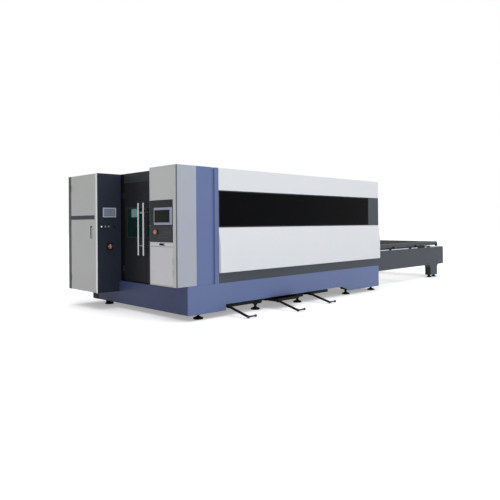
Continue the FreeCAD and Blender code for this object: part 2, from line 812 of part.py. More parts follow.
def cabinet_controls():
    """Display, key switches, lamp, button and isolator on the cabinet's doorway side."""
    display_z = f"({cabin_top} - display_drop - display_height)"
    display_x = f"({laser_front} + display_start)"
    plate = block("display_plate", (display_x, f"{doorway_end} - display_rise", display_z),
                  ("display_width", "display_rise", "display_height"))
    screen = block("display_recess", (f"{display_x} + display_border", f"{doorway_end} - display_rise",
                                      f"{display_z} + display_border"),
                   ("display_width - 2 * display_border", "display_rise / 2",
                    "display_height - 2 * display_border"))
    keep(carve("cabinet_display", plate, [screen]))
    z = f"({cabin_top} - switch_drop)"
    collar_y = f"({doorway_end} - collar_height)"
    places = {
        "signal_lamp": f"({laser_front} + lamp_start)",
        "key_switch_left": f"({laser_front} + key_start)",
        "key_switch_right": f"({laser_front} + key_start + key_pitch)",
        "start_button": f"({laser_front} + button_start)",
    }
    collars = [stop_collar()]
    for name, x in places.items():
        ring = faceted(name + "_ring", (x, collar_y, z), ALONG_Y, "hex_sides", "switch_radius + collar_wall",
                       "collar_height")
        place = (x, collar_y, z)
        radius = "switch_radius + running_gap"
        if name.startswith("key"):
            bore = rod(name + "_bore", place, ALONG_Y, radius, "collar_height")
        else:
            bore = faceted(name + "_bore", place, ALONG_Y, "round_sides", radius, "collar_height")
        collars.append(carve(name + "_collar", ring, [bore]))
    isolator_x = f"({laser_front} + isolator_start)"
    isolator_z = f"({cabin_top} - isolator_drop)"
    corner = (f"{isolator_x} - isolator_plate / 2", collar_y, f"{isolator_z} - isolator_plate / 2")
    collars.append(block("isolator_plate_block", corner, ("isolator_plate", "collar_height", "isolator_plate")))
    outer_y = f"({doorway_end} - switch_height)"
    depth = "(switch_height - running_gap)"
    collars.append(faceted("signal_lamp", (places["signal_lamp"], f"{doorway_end} - lamp_height", z), ALONG_Y,
                           "round_sides", "switch_radius", "lamp_height"))
    keep(gather("switch_collars", collars))
    for name in ("key_switch_left", "key_switch_right"):
        barrel = faceted(name + "_barrel", (places[name], outer_y, z), ALONG_Y, "round_sides",
                         "switch_radius", depth)
        lever = block(name + "_lever", (f"{places[name]} - lever_width / 2", f"{outer_y} - switch_radius",
                                        f"{z} - switch_radius"),
                      ("lever_width", "switch_radius", "switch_radius * 2"))
        keep(weld(name, [barrel, lever]))
    keep(faceted("start_button", (places["start_button"], f"{collar_y} - button_travel", z), ALONG_Y,
                 "round_sides", "switch_radius", "collar_height - running_gap"))
    knob_y = f"({collar_y} - running_gap - isolator_height)"
    dial = rod("isolator_dial", (isolator_x, f"{knob_y} + isolator_height / 2", isolator_z), ALONG_Y,
               "isolator_radius", "isolator_height / 2")
    grip = block("isolator_grip", (f"{isolator_x} - isolator_grip_width / 2", knob_y,
                                   f"{isolator_z} - isolator_grip_length / 2"),
                 ("isolator_grip_width", "isolator_height", "isolator_grip_length"))
    keep(weld("main_isolator", [dial, grip]))


# --- scrap drawers ------------------------------------------------------------------

SCRAP_DRAWERS = {
    "first": ("scrap_first", "scrap_inset"),
    "second": ("scrap_second", scrap_out),
    "third": ("scrap_third", "scrap_inset"),
}


def scrap_drawer(word, x, y):
    """A flat scrap tray with two lugs, and the bent tow bar that hangs from them."""
    tray = block(f"scrap_tray_{word}", (x, y, "scrap_bottom"), ("scrap_width", "scrap_depth", "scrap_height"))
    corner = (f"{x} + scrap_sheet", f"{y} + scrap_sheet", "scrap_bottom + scrap_sheet")
    room = block(f"scrap_room_{word}", corner,
                 ("scrap_width - 2 * scrap_sheet", "scrap_depth - 2 * scrap_sheet", "scrap_height"))
    hinge_x = f"({x} + tow_offset)"
    hinge_y = f"({y} - lug_reach + tow_eye_radius)"
    hinge_z = "(scrap_bottom + tow_rise)"
    lug_low = "(scrap_bottom + tow_rise - tow_eye_radius)"
    lug_size = ("lug_thickness", "lug_reach", "2 * tow_eye_radius")
    left_lug = f"{hinge_x} - tow_eye_length / 2 - running_gap - lug_thickness"
    right_lug = f"{hinge_x} + tow_eye_length / 2 + running_gap"
    lugs = [
        block(f"lug_left_{word}", (left_lug, f"{y} - lug_reach", lug_low), lug_size),
        block(f"lug_right_{word}", (right_lug, f"{y} - lug_reach", lug_low), lug_size),
        rod(f"lug_pin_{word}", (left_lug, hinge_y, hinge_z), ALONG_X, "tow_pin_radius",
            "tow_eye_length + 2 * running_gap + 2 * lug_thickness"),
    ]
    keep(weld(f"{word}_scrap_drawer", [carve(f"scrap_open_{word}", tray, [room])] + lugs))
    eye = faceted(f"tow_eye_{word}", (f"{hinge_x} - tow_eye_length / 2", hinge_y, hinge_z), ALONG_X,
                  "small_sides", "tow_eye_radius", "tow_eye_length")
    shank = faceted(f"tow_shank_{word}", (hinge_x, hinge_y, hinge_z), ALONG_Y, "small_sides", "tow_radius",
                    "tow_length")
    shank.setExpression("Placement.Rotation.Angle", bound("90 + tow_slope"))
    shank.Placement.Rotation.Axis = FreeCAD.Vector(1, 0, 0)
    grip = faceted(f"tow_grip_{word}",
                   (f"{hinge_x} - tow_radius", f"{hinge_y} - tow_length * cos(tow_slope * 1deg)",
                    f"{hinge_z} - tow_length * sin(tow_slope * 1deg)"),
                   ALONG_X, "small_sides", "tow_radius", "tow_grip_length")
    bar = weld(f"tow_bar_solid_{word}", [eye, shank, grip])
    bore = rod(f"tow_bore_{word}", (f"{hinge_x} - tow_eye_length", hinge_y, hinge_z), ALONG_X,
               "tow_pin_radius + tow_pin_gap", "tow_eye_length * 2")
    keep(carve(f"{word}_tow_bar", bar, [bore]))


def scrap_runners():
    """Angle irons under the bed that carry the scrap drawers' edges, each a hanging web and a ledge."""
    pieces = []
    low = "(scrap_bottom - running_gap - runner_sheet)"
    length = "(scrap_depth + bed_beam_width)"
    for word, (x, _) in SCRAP_DRAWERS.items():
        sides = {
            "left": (f"({x} - running_gap - runner_sheet)", f"({x} - running_gap)"),
            "right": (f"({x} + scrap_width + running_gap)",
                      f"({x} + scrap_width + running_gap + runner_sheet - runner_width)"),
        }
        for side, (web_x, ledge_x) in sides.items():
            pieces.append(block(f"runner_web_{side}_{word}", (web_x, bed_outer, low),
                                ("runner_sheet", length, f"bed_clear - {low}")))
            pieces.append(block(f"runner_ledge_{side}_{word}", (ledge_x, bed_outer, low),
                                ("runner_width - runner_sheet", length, "runner_sheet")))
    keep(gather("scrap_runners", pieces))


# --- gantry ---------------------------------------------------------------------------

rail_y = f"({bed_outer} + (bed_beam_width - rail_width_x) / 2)"
rail_top = "(bed_top + rail_height_x)"
truck_low = f"({rail_top} + running_gap)"
beam_low = f"({truck_low} + truck_height)"
truck_y = f"({bed_outer} + (bed_beam_width - truck_width) / 2)"
beam_front = "(gantry_start - beam_depth / 2)"
carriage_front = f"({beam_front} - running_gap - carriage_depth)"
slide_front = f"({carriage_front} - running_gap - slide_depth)"
gantry_middle = "(base_width / 2)"
nozzle_tip = f"({pallet_top} + nozzle_gap)"


def guide_rails():
    """Ground rails with a rack strip beside each, on top of the bed beams."""
    pieces = []
    rails = {"near": rail_y, "far": mirrored_y(rail_y, "rail_width_x")}
    for side, y in rails.items():
        pieces.append(block(f"guide_rail_{side}", (bed_start, y, "bed_top"),
                            (bed_length, "rail_width_x", "rail_height_x")))
        rack_y = f"({y} - rack_height * 2)" if side == "near" else f"({y} + rail_width_x + rack_height)"
        pieces.append(block(f"rack_{side}", (bed_start, rack_y, "bed_top"),
                            (bed_length, "rack_height", "rack_height")))
    keep(gather("guide_rails", pieces))


def gantry():
    """Bridge beam on two end trucks, with the carriage and the cutting head."""
    far_truck = mirrored_y(truck_y, "truck_width")
    pieces = [block("gantry_bridge", (beam_front, truck_y, beam_low),
                    ("beam_depth", f"base_width - 2 * {truck_y}", "beam_height"))]
    for side, y in (("near", truck_y), ("far", far_truck)):
        pieces.append(block(f"gantry_truck_{side}", ("gantry_start - truck_length / 2", y, truck_low),
                            ("truck_length", "truck_width", "truck_height")))
    keep(weld("gantry_beam", pieces))
    plate_low = f"({beam_low} - carriage_hang)"
    keep(block("carriage", (carriage_front, f"{gantry_middle} - carriage_width / 2", plate_low),
               ("carriage_depth", "carriage_width", "carriage_height")))
    head_x = f"({slide_front} - head_radius + head_seat)"
    head_low = f"({nozzle_tip} + nozzle_height)"
    plate = block("head_slide", (slide_front, f"{gantry_middle} - slide_width / 2", head_low),
                  ("slide_depth", "slide_width", "slide_height"))
    barrel = faceted("head_barrel", (head_x, gantry_middle, head_low), ALONG_Z, "round_sides", "head_radius",
                     "head_height")
    nozzle = cone("head_nozzle", (head_x, gantry_middle, nozzle_tip), "nozzle_radius", "nozzle_top_radius",
                  "nozzle_height")
    keep(weld("cutting_head", [plate, barrel, nozzle]))


# --- exchange table --------------------------------------------------------------------

table_far = mirrored_y("table_inset", "table_web")
table_inner = f"(base_width - 2 * {bed_inner})"


def table_frame():
    """Folded side channels, end plate and three cross beams."""
    height = "(table_top - table_bottom)"
    near = [("0", "0"), ("table_flange", "0"), ("table_flange", "flange_thickness"),
            ("table_web", "flange_thickness"), ("table_web", f"{height} - flange_thickness"),
            ("table_flange", f"{height} - flange_thickness"), ("table_flange", height), ("0", height)]
    far = [("0", "0"), ("table_flange", "0"), ("table_flange", height), ("0", height),
           ("0", f"{height} - flange_thickness"),
           ("table_flange - table_web", f"{height} - flange_thickness"),
           ("table_flange - table_web", "flange_thickness"), ("0", "flange_thickness")]
    pieces = [
        profile("table_channel_near", (cabin_end, "table_inset", "table_bottom"),
                "YZ_Plane", near, "table_length"),
        profile("table_channel_far", (cabin_end, mirrored_y("table_inset", "table_flange"), "table_bottom"),
                "YZ_Plane", far, "table_length"),
        block("table_end_plate", (f"{table_end} - flange_thickness", "table_inset", "table_bottom"),
              ("flange_thickness", "base_width - 2 * table_inset", height)),
    ]
    beams = int(number("table_beams"))
    run = "(table_length - leg_offset - leg_width / 2 - table_cross)"
    for index in range(beams):
        x = f"({cabin_end} + table_cross + {run} * {index} / (table_beams - 1))"
        pieces.append(block(f"table_cross_{index}", (x, bed_inner, "table_bottom + flange_thickness"),
                            ("table_cross", table_inner, "table_cross")))
    pieces.append(table_leg("near", "table_inset"))
    pieces.append(table_leg("far", mirrored_y("table_inset", "leg_depth")))
    keep(weld("table_frame", pieces))


def table_leg(side, y):
    """A box leg whose head flares out in two quarter circles."""
    start = f"({table_end} - leg_offset - leg_width)"
    post = block(f"leg_post_{side}", (start, y, "leg_bottom_height"),
                 ("leg_width", "leg_depth", "table_bottom - leg_bottom_height"))
    head_low = "(table_bottom - leg_flare)"
    head = block(f"leg_head_{side}", (f"{start} - leg_flare", y, head_low),
                 ("leg_width + 2 * leg_flare", "leg_depth", "leg_flare"))
    scoops = [rod(f"leg_scoop_{side}_{index}", (x, y, head_low), ALONG_Y,
                  "leg_flare - table_web", "leg_depth")
              for index, x in enumerate((f"{start} - leg_flare", f"{start} + leg_width + leg_flare"))]
    return weld(f"table_leg_{side}", [carve(f"leg_flared_{side}", head, scoops), post])


def pallet_tracks():
    """Ground track bars at two levels, from the bed to the table's free end."""
    length = f"({table_end} - track_end_gap - track_start)"
    pieces = []
    for level, top in (("upper", upper_track_top), ("lower", lower_track_top)):
        for side, y in (("near", bed_inner), ("far", mirrored_y(bed_inner, "track_width"))):
            pieces.append(block(f"track_{level}_{side}", ("track_start", y, f"{top} - track_height"),
                                (length, "track_width", "track_height")))
    keep(gather("pallet_tracks", pieces))


def pallet(word, x, track_top):
    """Pallet frame with its eight track wheels, and its bank of toothed slats."""
    beam_y = f"({bed_inner} + track_width + pallet_track_gap)"
    beam_z = f"({track_top} + pallet_beam_lift)"
    inner_y = f"({beam_y} + pallet_beam)"
    inner_width = f"(base_width - 2 * {inner_y})"
    outer_width = f"(base_width - 2 * {beam_y})"
    frame = [
        block(f"{word}_side_near", (x, beam_y, beam_z),
              ("pallet_length", "pallet_beam", "pallet_beam_height")),
        block(f"{word}_side_far", (x, mirrored_y(beam_y, "pallet_beam"), beam_z),
              ("pallet_length", "pallet_beam", "pallet_beam_height")),
        block(f"{word}_end_front", (x, beam_y, beam_z), ("pallet_beam", outer_width, "pallet_beam_height")),
        block(f"{word}_end_back", (f"{x} + pallet_length - pallet_beam", beam_y, beam_z),
              ("pallet_beam", outer_width, "pallet_beam_height")),
        block(f"{word}_spine", (x, f"{gantry_middle} - pallet_beam / 2", beam_z),
              ("pallet_length", "pallet_beam", "pallet_beam_height - slat_height")),
    ]
    wheels = [weld(f"{word}_pallet_frame", frame)]
    for index in range(int(number("wheel_pairs"))):
        for side in ("near", "far"):
            wheel_x = f"({x} + wheel_first + wheel_pitch * {index})"
            wheel_z = f"({track_top} + wheel_radius + running_gap)"
            hub_length = f"({beam_y} - {bed_inner} - track_width + wheel_width)"
            if side == "near":
                wheel_y = f"({bed_inner} + track_width - wheel_width)"
                hub_y = wheel_y
            else:
                wheel_y = mirrored_y(f"({bed_inner} + track_width - wheel_width)", "wheel_width")
                hub_y = f"(base_width - {beam_y})"
            rim = faceted(f"{word}_rim_{side}_{index}", (wheel_x, wheel_y, wheel_z), ALONG_Y, "round_sides",
                          "wheel_radius", "wheel_width")
            hub = faceted(f"{word}_hub_{side}_{index}", (wheel_x, hub_y, wheel_z), ALONG_Y, "small_sides",
                          "hub_radius", hub_length)
            wheels.append(weld(f"{word}_wheel_{side}_{index}", [rim, hub]))
    teeth = int(number("slat_teeth"))
    pitch = f"({inner_width} / slat_teeth)"
    outline = [("0", "0"), (inner_width, "0"), (inner_width, "slat_height - tooth_height")]
    for index in range(teeth - 1, -1, -1):
        outline.append((f"{pitch} * ({index} + 0.5)", "slat_height"))
        outline.append((f"{pitch} * {index}" if index else "0", "slat_height - tooth_height"))
    first = f"({x} + pallet_beam)"
    free = "(pallet_length - 2 * pallet_beam)"
    slats = profile(f"{word}_pallet_slats",
                    (f"{first} + {free} / slat_count / 2 - slat_thickness / 2", inner_y,
                     f"{beam_z} + pallet_beam_height - slat_height"),
                    "YZ_Plane", outline, "slat_thickness")
    bank = slats.newObject("PartDesign::LinearPattern", f"{word}_slat_bank")
    bank.Originals = [slats.Tip]
    bank.Direction = (origin_feature(slats, "X_Axis"), [""])
    bank.setExpression("Length", bound(f"{free} * (slat_count - 1) / slat_count"))
    bank.setExpression("Occurrences", bound("slat_count"))
    slats.Tip = bank
    if word == "outer":
        keep(gather("outer_pallet", wheels))
        keep(slats)
    else:
        keep(gather("inner_pallet", wheels + [slats]))


def exchange_drive():
    """Cross shaft with two sprockets and the gear motor on the far channel."""
    x = f"({table_end} - drive_inset)"
    z = "(table_bottom + drive_lift)"
    start = f"({bed_inner} + running_gap)"
    length = f"(base_width - 2 * {start})"
    pieces = [rod("drive_bar", (x, start, z), ALONG_Y, "drive_radius", length)]
    places = (f"{start} + track_width", f"base_width - {start} - track_width - sprocket_width")
    for index, y in enumerate(places):
        pieces.append(faceted(f"drive_sprocket_{index}", (x, y, z), ALONG_Y, "round_sides", "sprocket_radius",
                              "sprocket_width"))
    keep(weld("drive_shaft", pieces))
    motor_y = "base_width - table_inset"
    flange = block("motor_flange", (f"{x} - motor_size / 2", motor_y, f"{z} - motor_size / 2"),
                   ("motor_size", "motor_flange_depth", "motor_size"))
    body = faceted("motor_body", (x, f"{motor_y} + motor_flange_depth", z), ALONG_Y, "round_sides",
                   "motor_radius", "motor_length")
    keep(weld("drive_motor", [flange, body]))


# --- hinges ------------------------------------------------------------------------------

def hinge(label, plane, edge, leaf_start, low):
    """A fixed knuckle just in front of a door's face, with its leaf on the frame beside it."""
    knuckle = rod(label + "_knuckle", (f"{plane} - hinge_radius", edge, low), ALONG_Z,
                  "hinge_radius - running_gap", "hinge_length")
    leaf = block(label + "_leaf", (f"{plane} - hinge_sheet", leaf_start, low),
                 ("hinge_sheet", "hinge_leaf", "hinge_length"))
    return weld(label, [knuckle, leaf])


def door_hinges():
    """Knuckle hinges of the entry doors, the console door and the laser cabinet door."""
    laser_edge = f"({laser_back} - hinge_stile)"
    doors = {
        "left": (door_plane, left_edge, left_edge, door_low, door_high),
        "right": (door_plane, right_edge, f"({right_edge} - hinge_leaf)", door_low, door_high),
        "console": ("0", face_start, f"({face_start} - hinge_leaf)", base_top, drawer_low),
        "laser": (laser_front, laser_edge, laser_edge, laser_bottom, cabin_top),
    }
    pieces = []
    for name, (plane, edge, leaf_start, low, high) in doors.items():
        pieces.append(hinge(f"{name}_hinge_low", plane, edge, leaf_start, f"({low} + hinge_inset)"))
        pieces.append(hinge(f"{name}_hinge_high", plane, edge, leaf_start,
                            f"({high} - hinge_inset - hinge_length)"))
    keep(gather("door_hinges", pieces))


bed_frame()
levelling_feet()
skirts()
window_side()
closed_sides()
door_frame()
entry_door("left", f"({meeting} + meeting_gap / 2)", left_leaf_width,
           f"({meeting} + meeting_gap / 2 + grip_edge)")
entry_door("right", f"({right_edge} + door_gap)", right_leaf_width,
           f"({meeting} - meeting_gap / 2 - grip_edge)")
console()
emergency_stop()
keyboard_drawer()
console_door()
laser_cabinet()
laser_door()
cabinet_controls()
for word, (x, y) in SCRAP_DRAWERS.items():
    scrap_drawer(word, x, y)
scrap_runners()
guide_rails()
gantry()
table_frame()
pallet_tracks()
pallet("outer", f"({cabin_end} + pallet_start)", upper_track_top)
pallet("inner", f"({cabin_end} - inner_pallet_gap - pallet_length)", lower_track_top)
exchange_drive()
door_hinges()
doc.recompute()

# Every object has to be up to date and every node a valid solid before anything is written
for item in doc.Objects:
    if "Invalid" in item.State or "Error" in item.State:
        raise RuntimeError(f"{item.Label} did not compute: {item.State}")
for piece in nodes:
    if piece.Shape.isNull() or not piece.Shape.isValid():
        raise RuntimeError(f"{piece.Label} has no valid shape")

os.makedirs("parts", exist_ok=True)
for piece in nodes:
    piece.Shape.exportStep(f"parts/{piece.Label}.step")
print(len(nodes), "nodes")
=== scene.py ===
import json
import math

import bmesh
import bpy
from mathutils import Matrix, Vector

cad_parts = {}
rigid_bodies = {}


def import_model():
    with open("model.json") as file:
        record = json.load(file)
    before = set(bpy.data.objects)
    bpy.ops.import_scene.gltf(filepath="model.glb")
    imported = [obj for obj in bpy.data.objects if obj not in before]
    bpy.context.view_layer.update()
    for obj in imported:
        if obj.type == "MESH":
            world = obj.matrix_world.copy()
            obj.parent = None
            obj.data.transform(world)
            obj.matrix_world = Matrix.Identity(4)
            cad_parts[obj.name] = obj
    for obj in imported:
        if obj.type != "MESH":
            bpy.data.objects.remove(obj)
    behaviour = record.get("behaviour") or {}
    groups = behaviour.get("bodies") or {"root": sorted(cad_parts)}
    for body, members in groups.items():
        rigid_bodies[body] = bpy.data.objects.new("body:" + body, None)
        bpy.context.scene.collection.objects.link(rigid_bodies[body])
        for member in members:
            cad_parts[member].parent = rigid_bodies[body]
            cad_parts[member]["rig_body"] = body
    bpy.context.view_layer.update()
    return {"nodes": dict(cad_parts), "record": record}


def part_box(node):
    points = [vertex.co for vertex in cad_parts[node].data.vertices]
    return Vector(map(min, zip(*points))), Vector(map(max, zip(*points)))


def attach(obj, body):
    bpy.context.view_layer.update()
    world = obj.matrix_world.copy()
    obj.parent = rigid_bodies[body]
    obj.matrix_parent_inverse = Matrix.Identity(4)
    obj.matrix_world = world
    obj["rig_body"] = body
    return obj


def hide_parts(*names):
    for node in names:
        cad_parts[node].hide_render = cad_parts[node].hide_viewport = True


# Fibre laser cutting machine: closed cabin, operator console, laser cabinet and exchange table.
# The frame gives every place in metres; this file adds the finishes and the fine pieces.

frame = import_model()
scene = bpy.context.scene
slotOf = {part["node"]: part["material_slot"] for part in frame["record"]["subparts"]}
print("frame loaded:", len(frame["nodes"]), "nodes")


# --- camera, floor and light ---

cameraView = {
    "place": (-8.779, -7.172, 1.411),
    "yawDeg": 45.59,
    "pitchDeg": 0.24,
    "rollDeg": -0.44,
    "lensMm": 38.01,
    "sensorMm": 36.0,
    "shiftY": -0.0581,
    "farEnd": 200,
}


def addObject(name, data, matrix=None):
    thing = bpy.data.objects.new(name, data)
    if matrix:
        thing.matrix_world = matrix
    scene.collection.objects.link(thing)
    return thing


def lookFrom(place, direction):
    return Matrix.Translation(place) @ direction.to_track_quat("-Z", "Y").to_matrix().to_4x4()


def setCamera(view):
    yaw, pitch, roll = (math.radians(view[name]) for name in ("yawDeg", "pitchDeg", "rollDeg"))
    forward = Vector((math.cos(yaw) * math.cos(pitch), math.sin(yaw) * math.cos(pitch), math.sin(pitch)))
    data = bpy.data.cameras.new("viewCamera")
    data.sensor_width = view["sensorMm"]
    data.lens = view["lensMm"]
    data.shift_y = view["shiftY"]
    data.clip_end = view["farEnd"]
    turn = Matrix.Rotation(roll, 4, "Z")
    scene.camera = addObject("viewCamera", data, lookFrom(view["place"], forward) @ turn)


setCamera(cameraView)
scene.view_settings.view_transform = "Standard"


def linear(hexText):
    parts = [int(hexText[i:i + 2], 16) / 255 for i in (1, 3, 5)]
    return tuple(c / 12.92 if c <= 0.04045 else ((c + 0.055) / 1.055) ** 2.4 for c in parts) + (1.0,)


def addNode(tree, kind, values=None, links=None, **settings):
    node = tree.nodes.new(kind)
    for name, value in settings.items():
        setattr(node, name, value)
    for name, value in (values or {}).items():
        node.inputs[name].default_value = value
    for name, socket in (links or {}).items():
        tree.links.new(socket, node.inputs[name])
    return node


studio = {
    "ambient": 0.35,        # what the room gives to painted surfaces
    "backdrop": 1.0,        # what the camera, gloss and glass see
    "floorColour": "#eeeeee",
    "floorGlow": 0.34,      # lifts the floor to white for the eye and leaves its shadow
    "ceiling": {"strength": 1.9, "spreadDeg": 68},
    "floorSize": 120.0,
    "lamps": [
        {"name": "sideLamp", "place": (-1.5, -11.0, 7.0), "aim": (0.0, -1.0, 1.0), "size": 7.0, "watts": 260},
        {"name": "endLamp", "place": (-10.0, -5.0, 6.5), "aim": (-4.3, -0.8, 1.2), "size": 4.0, "watts": 90},
    ],
}
white = (1, 1, 1, 1)


def seenDirectly(tree):
    # one for what the camera sees by itself, in a gloss or through glass
    path = addNode(tree, "ShaderNodeLightPath")
    seen = path.outputs["Is Camera Ray"]
    for kind in ("Is Glossy Ray", "Is Transmission Ray"):
        seen = addNode(tree, "ShaderNodeMath", links={0: seen, 1: path.outputs[kind]},
                       operation="MAXIMUM").outputs[0]
    return seen


def lightRoom(room):
    world = bpy.data.worlds.new("studioRoom")
    scene.world = world
    world.use_nodes = True
    tree = world.node_tree
    tree.nodes.clear()
    plain = addNode(tree, "ShaderNodeBackground", {"Color": white, "Strength": room["ambient"]})
    bright = addNode(tree, "ShaderNodeBackground", {"Color": white, "Strength": room["backdrop"]})
    mix = addNode(tree, "ShaderNodeMixShader",
                  links={0: seenDirectly(tree), 1: plain.outputs[0], 2: bright.outputs[0]})
    addNode(tree, "ShaderNodeOutputWorld", links={"Surface": mix.outputs[0]})
    for lamp in room["lamps"]:
        data = bpy.data.lights.new(lamp["name"], "AREA")
        data.shape = "SQUARE"
        data.size = lamp["size"]
        data.energy = lamp["watts"]
        place = Vector(lamp["place"])
        addObject(lamp["name"], data, lookFrom(place, Vector(lamp["aim"]) - place))
    # a broad bright ceiling: straight down, with soft shadows
    data = bpy.data.lights.new("ceiling", "SUN")
    data.energy = room["ceiling"]["strength"]
    data.angle = math.radians(room["ceiling"]["spreadDeg"])
    addObject("ceiling", data)


def layFloor(room):
    bm = bmesh.new()
    bmesh.ops.create_grid(bm, x_segments=1, y_segments=1, size=room["floorSize"] / 2)
    mesh = bpy.data.meshes.new("studioFloor")
    bm.to_mesh(mesh)
    bm.free()
    paintedFloor = bpy.data.materials.new("paintedFloor")
    paintedFloor.use_nodes = True
    tree = paintedFloor.node_tree
    tree.nodes.clear()
    seen = seenDirectly(tree)
    glow = addNode(tree, "ShaderNodeMath", {1: room["floorGlow"]}, {0: seen}, operation="MULTIPLY")
    paint = addNode(tree, "ShaderNodeBsdfDiffuse", {"Color": linear(room["floorColour"])})
    shine = addNode(tree, "ShaderNodeEmission", {"Color": white}, {"Strength": glow.outputs[0]})
    both = addNode(tree, "ShaderNodeAddShader", links={0: paint.outputs[0], 1: shine.outputs[0]})
    addNode(tree, "ShaderNodeOutputMaterial", links={"Surface": both.outputs[0]})
    mesh.materials.append(paintedFloor)
    addObject("studioFloor", mesh)


lightRoom(studio)
layFloor(studio)
print("room ready")


# --- materials ---

surface = {
    "toneDetail": 3.0,
    "grainDetail": 4.0,
    "noiseRange": (0.3, 0.7),   # where nearly all of a noise's values lie
    "reliefDepth": 0.05,        # height of the grain as a share of its size
}


def finish(name, look):
    # one noise drives the tone, and a finer one the roughness and the surface relief
    made = bpy.data.materials.new(name)
    made.use_nodes = True
    tree = made.node_tree
    shader = tree.nodes["Principled BSDF"]
    shader.inputs["Metallic"].default_value = look.get("metallic", 0.0)
    shader.inputs["Specular IOR Level"].default_value = look.get("gloss", 0.5)
    if "glow" in look:
        shader.inputs["Emission Strength"].default_value = look["glow"]
        shader.inputs["Emission Color"].default_value = linear(look["glowColour"])
    coords = addNode(tree, "ShaderNodeTexCoord")
    grain = addNode(tree, "ShaderNodeMapping", {"Scale": look.get("stretch", (1, 1, 1))},
                    {"Vector": coords.outputs["Object"]})
    tone = addNode(tree, "ShaderNodeTexNoise",
                   {"Scale": 1000 / look["cloudMm"], "Detail": surface["toneDetail"]},
                   {"Vector": grain.outputs[0]})
    dark, light = look["tones"]
    colour = addNode(tree, "ShaderNodeMix", {"A": linear(dark), "B": linear(light)},
                     {"Factor": tone.outputs["Fac"]}, data_type="RGBA")
    tree.links.new(colour.outputs["Result"], shader.inputs["Base Color"])
    relief = addNode(tree, "ShaderNodeTexNoise",
                     {"Scale": 1000 / look["grainMm"], "Detail": surface["grainDetail"]},
                     {"Vector": grain.outputs[0]})
    (low, high), (least, most) = look["rough"], surface["noiseRange"]
    rough = addNode(tree, "ShaderNodeMapRange",
                    {"From Min": least, "From Max": most, "To Min": low, "To Max": high},
                    {"Value": relief.outputs["Fac"]})
    tree.links.new(rough.outputs[0], shader.inputs["Roughness"])
    depth = surface["reliefDepth"] * look["grainMm"] / 1000
    bump = addNode(tree, "ShaderNodeBump", {"Strength": look["relief"], "Distance": depth},
                   {"Height": relief.outputs["Fac"]})
    tree.links.new(bump.outputs[0], shader.inputs["Normal"])
    return made


# Powder coat: baked polyester with an even satin sheen and a fine orange peel of about 2 mm,
# drawn at 14 mm so that it shows.
peel = dict(cloudMm=900, grainMm=14, rough=(0.34, 0.46), relief=0.10, gloss=0.3)
darkPeel = dict(peel, gloss=0.1)
# injection-moulded plastic with a fine spark-eroded grain
mould = dict(cloudMm=120, grainMm=2, rough=(0.36, 0.50), relief=0.12, gloss=0.3)
dimMould = dict(mould, gloss=0.15)
wornMould = dict(mould, cloudMm=30)
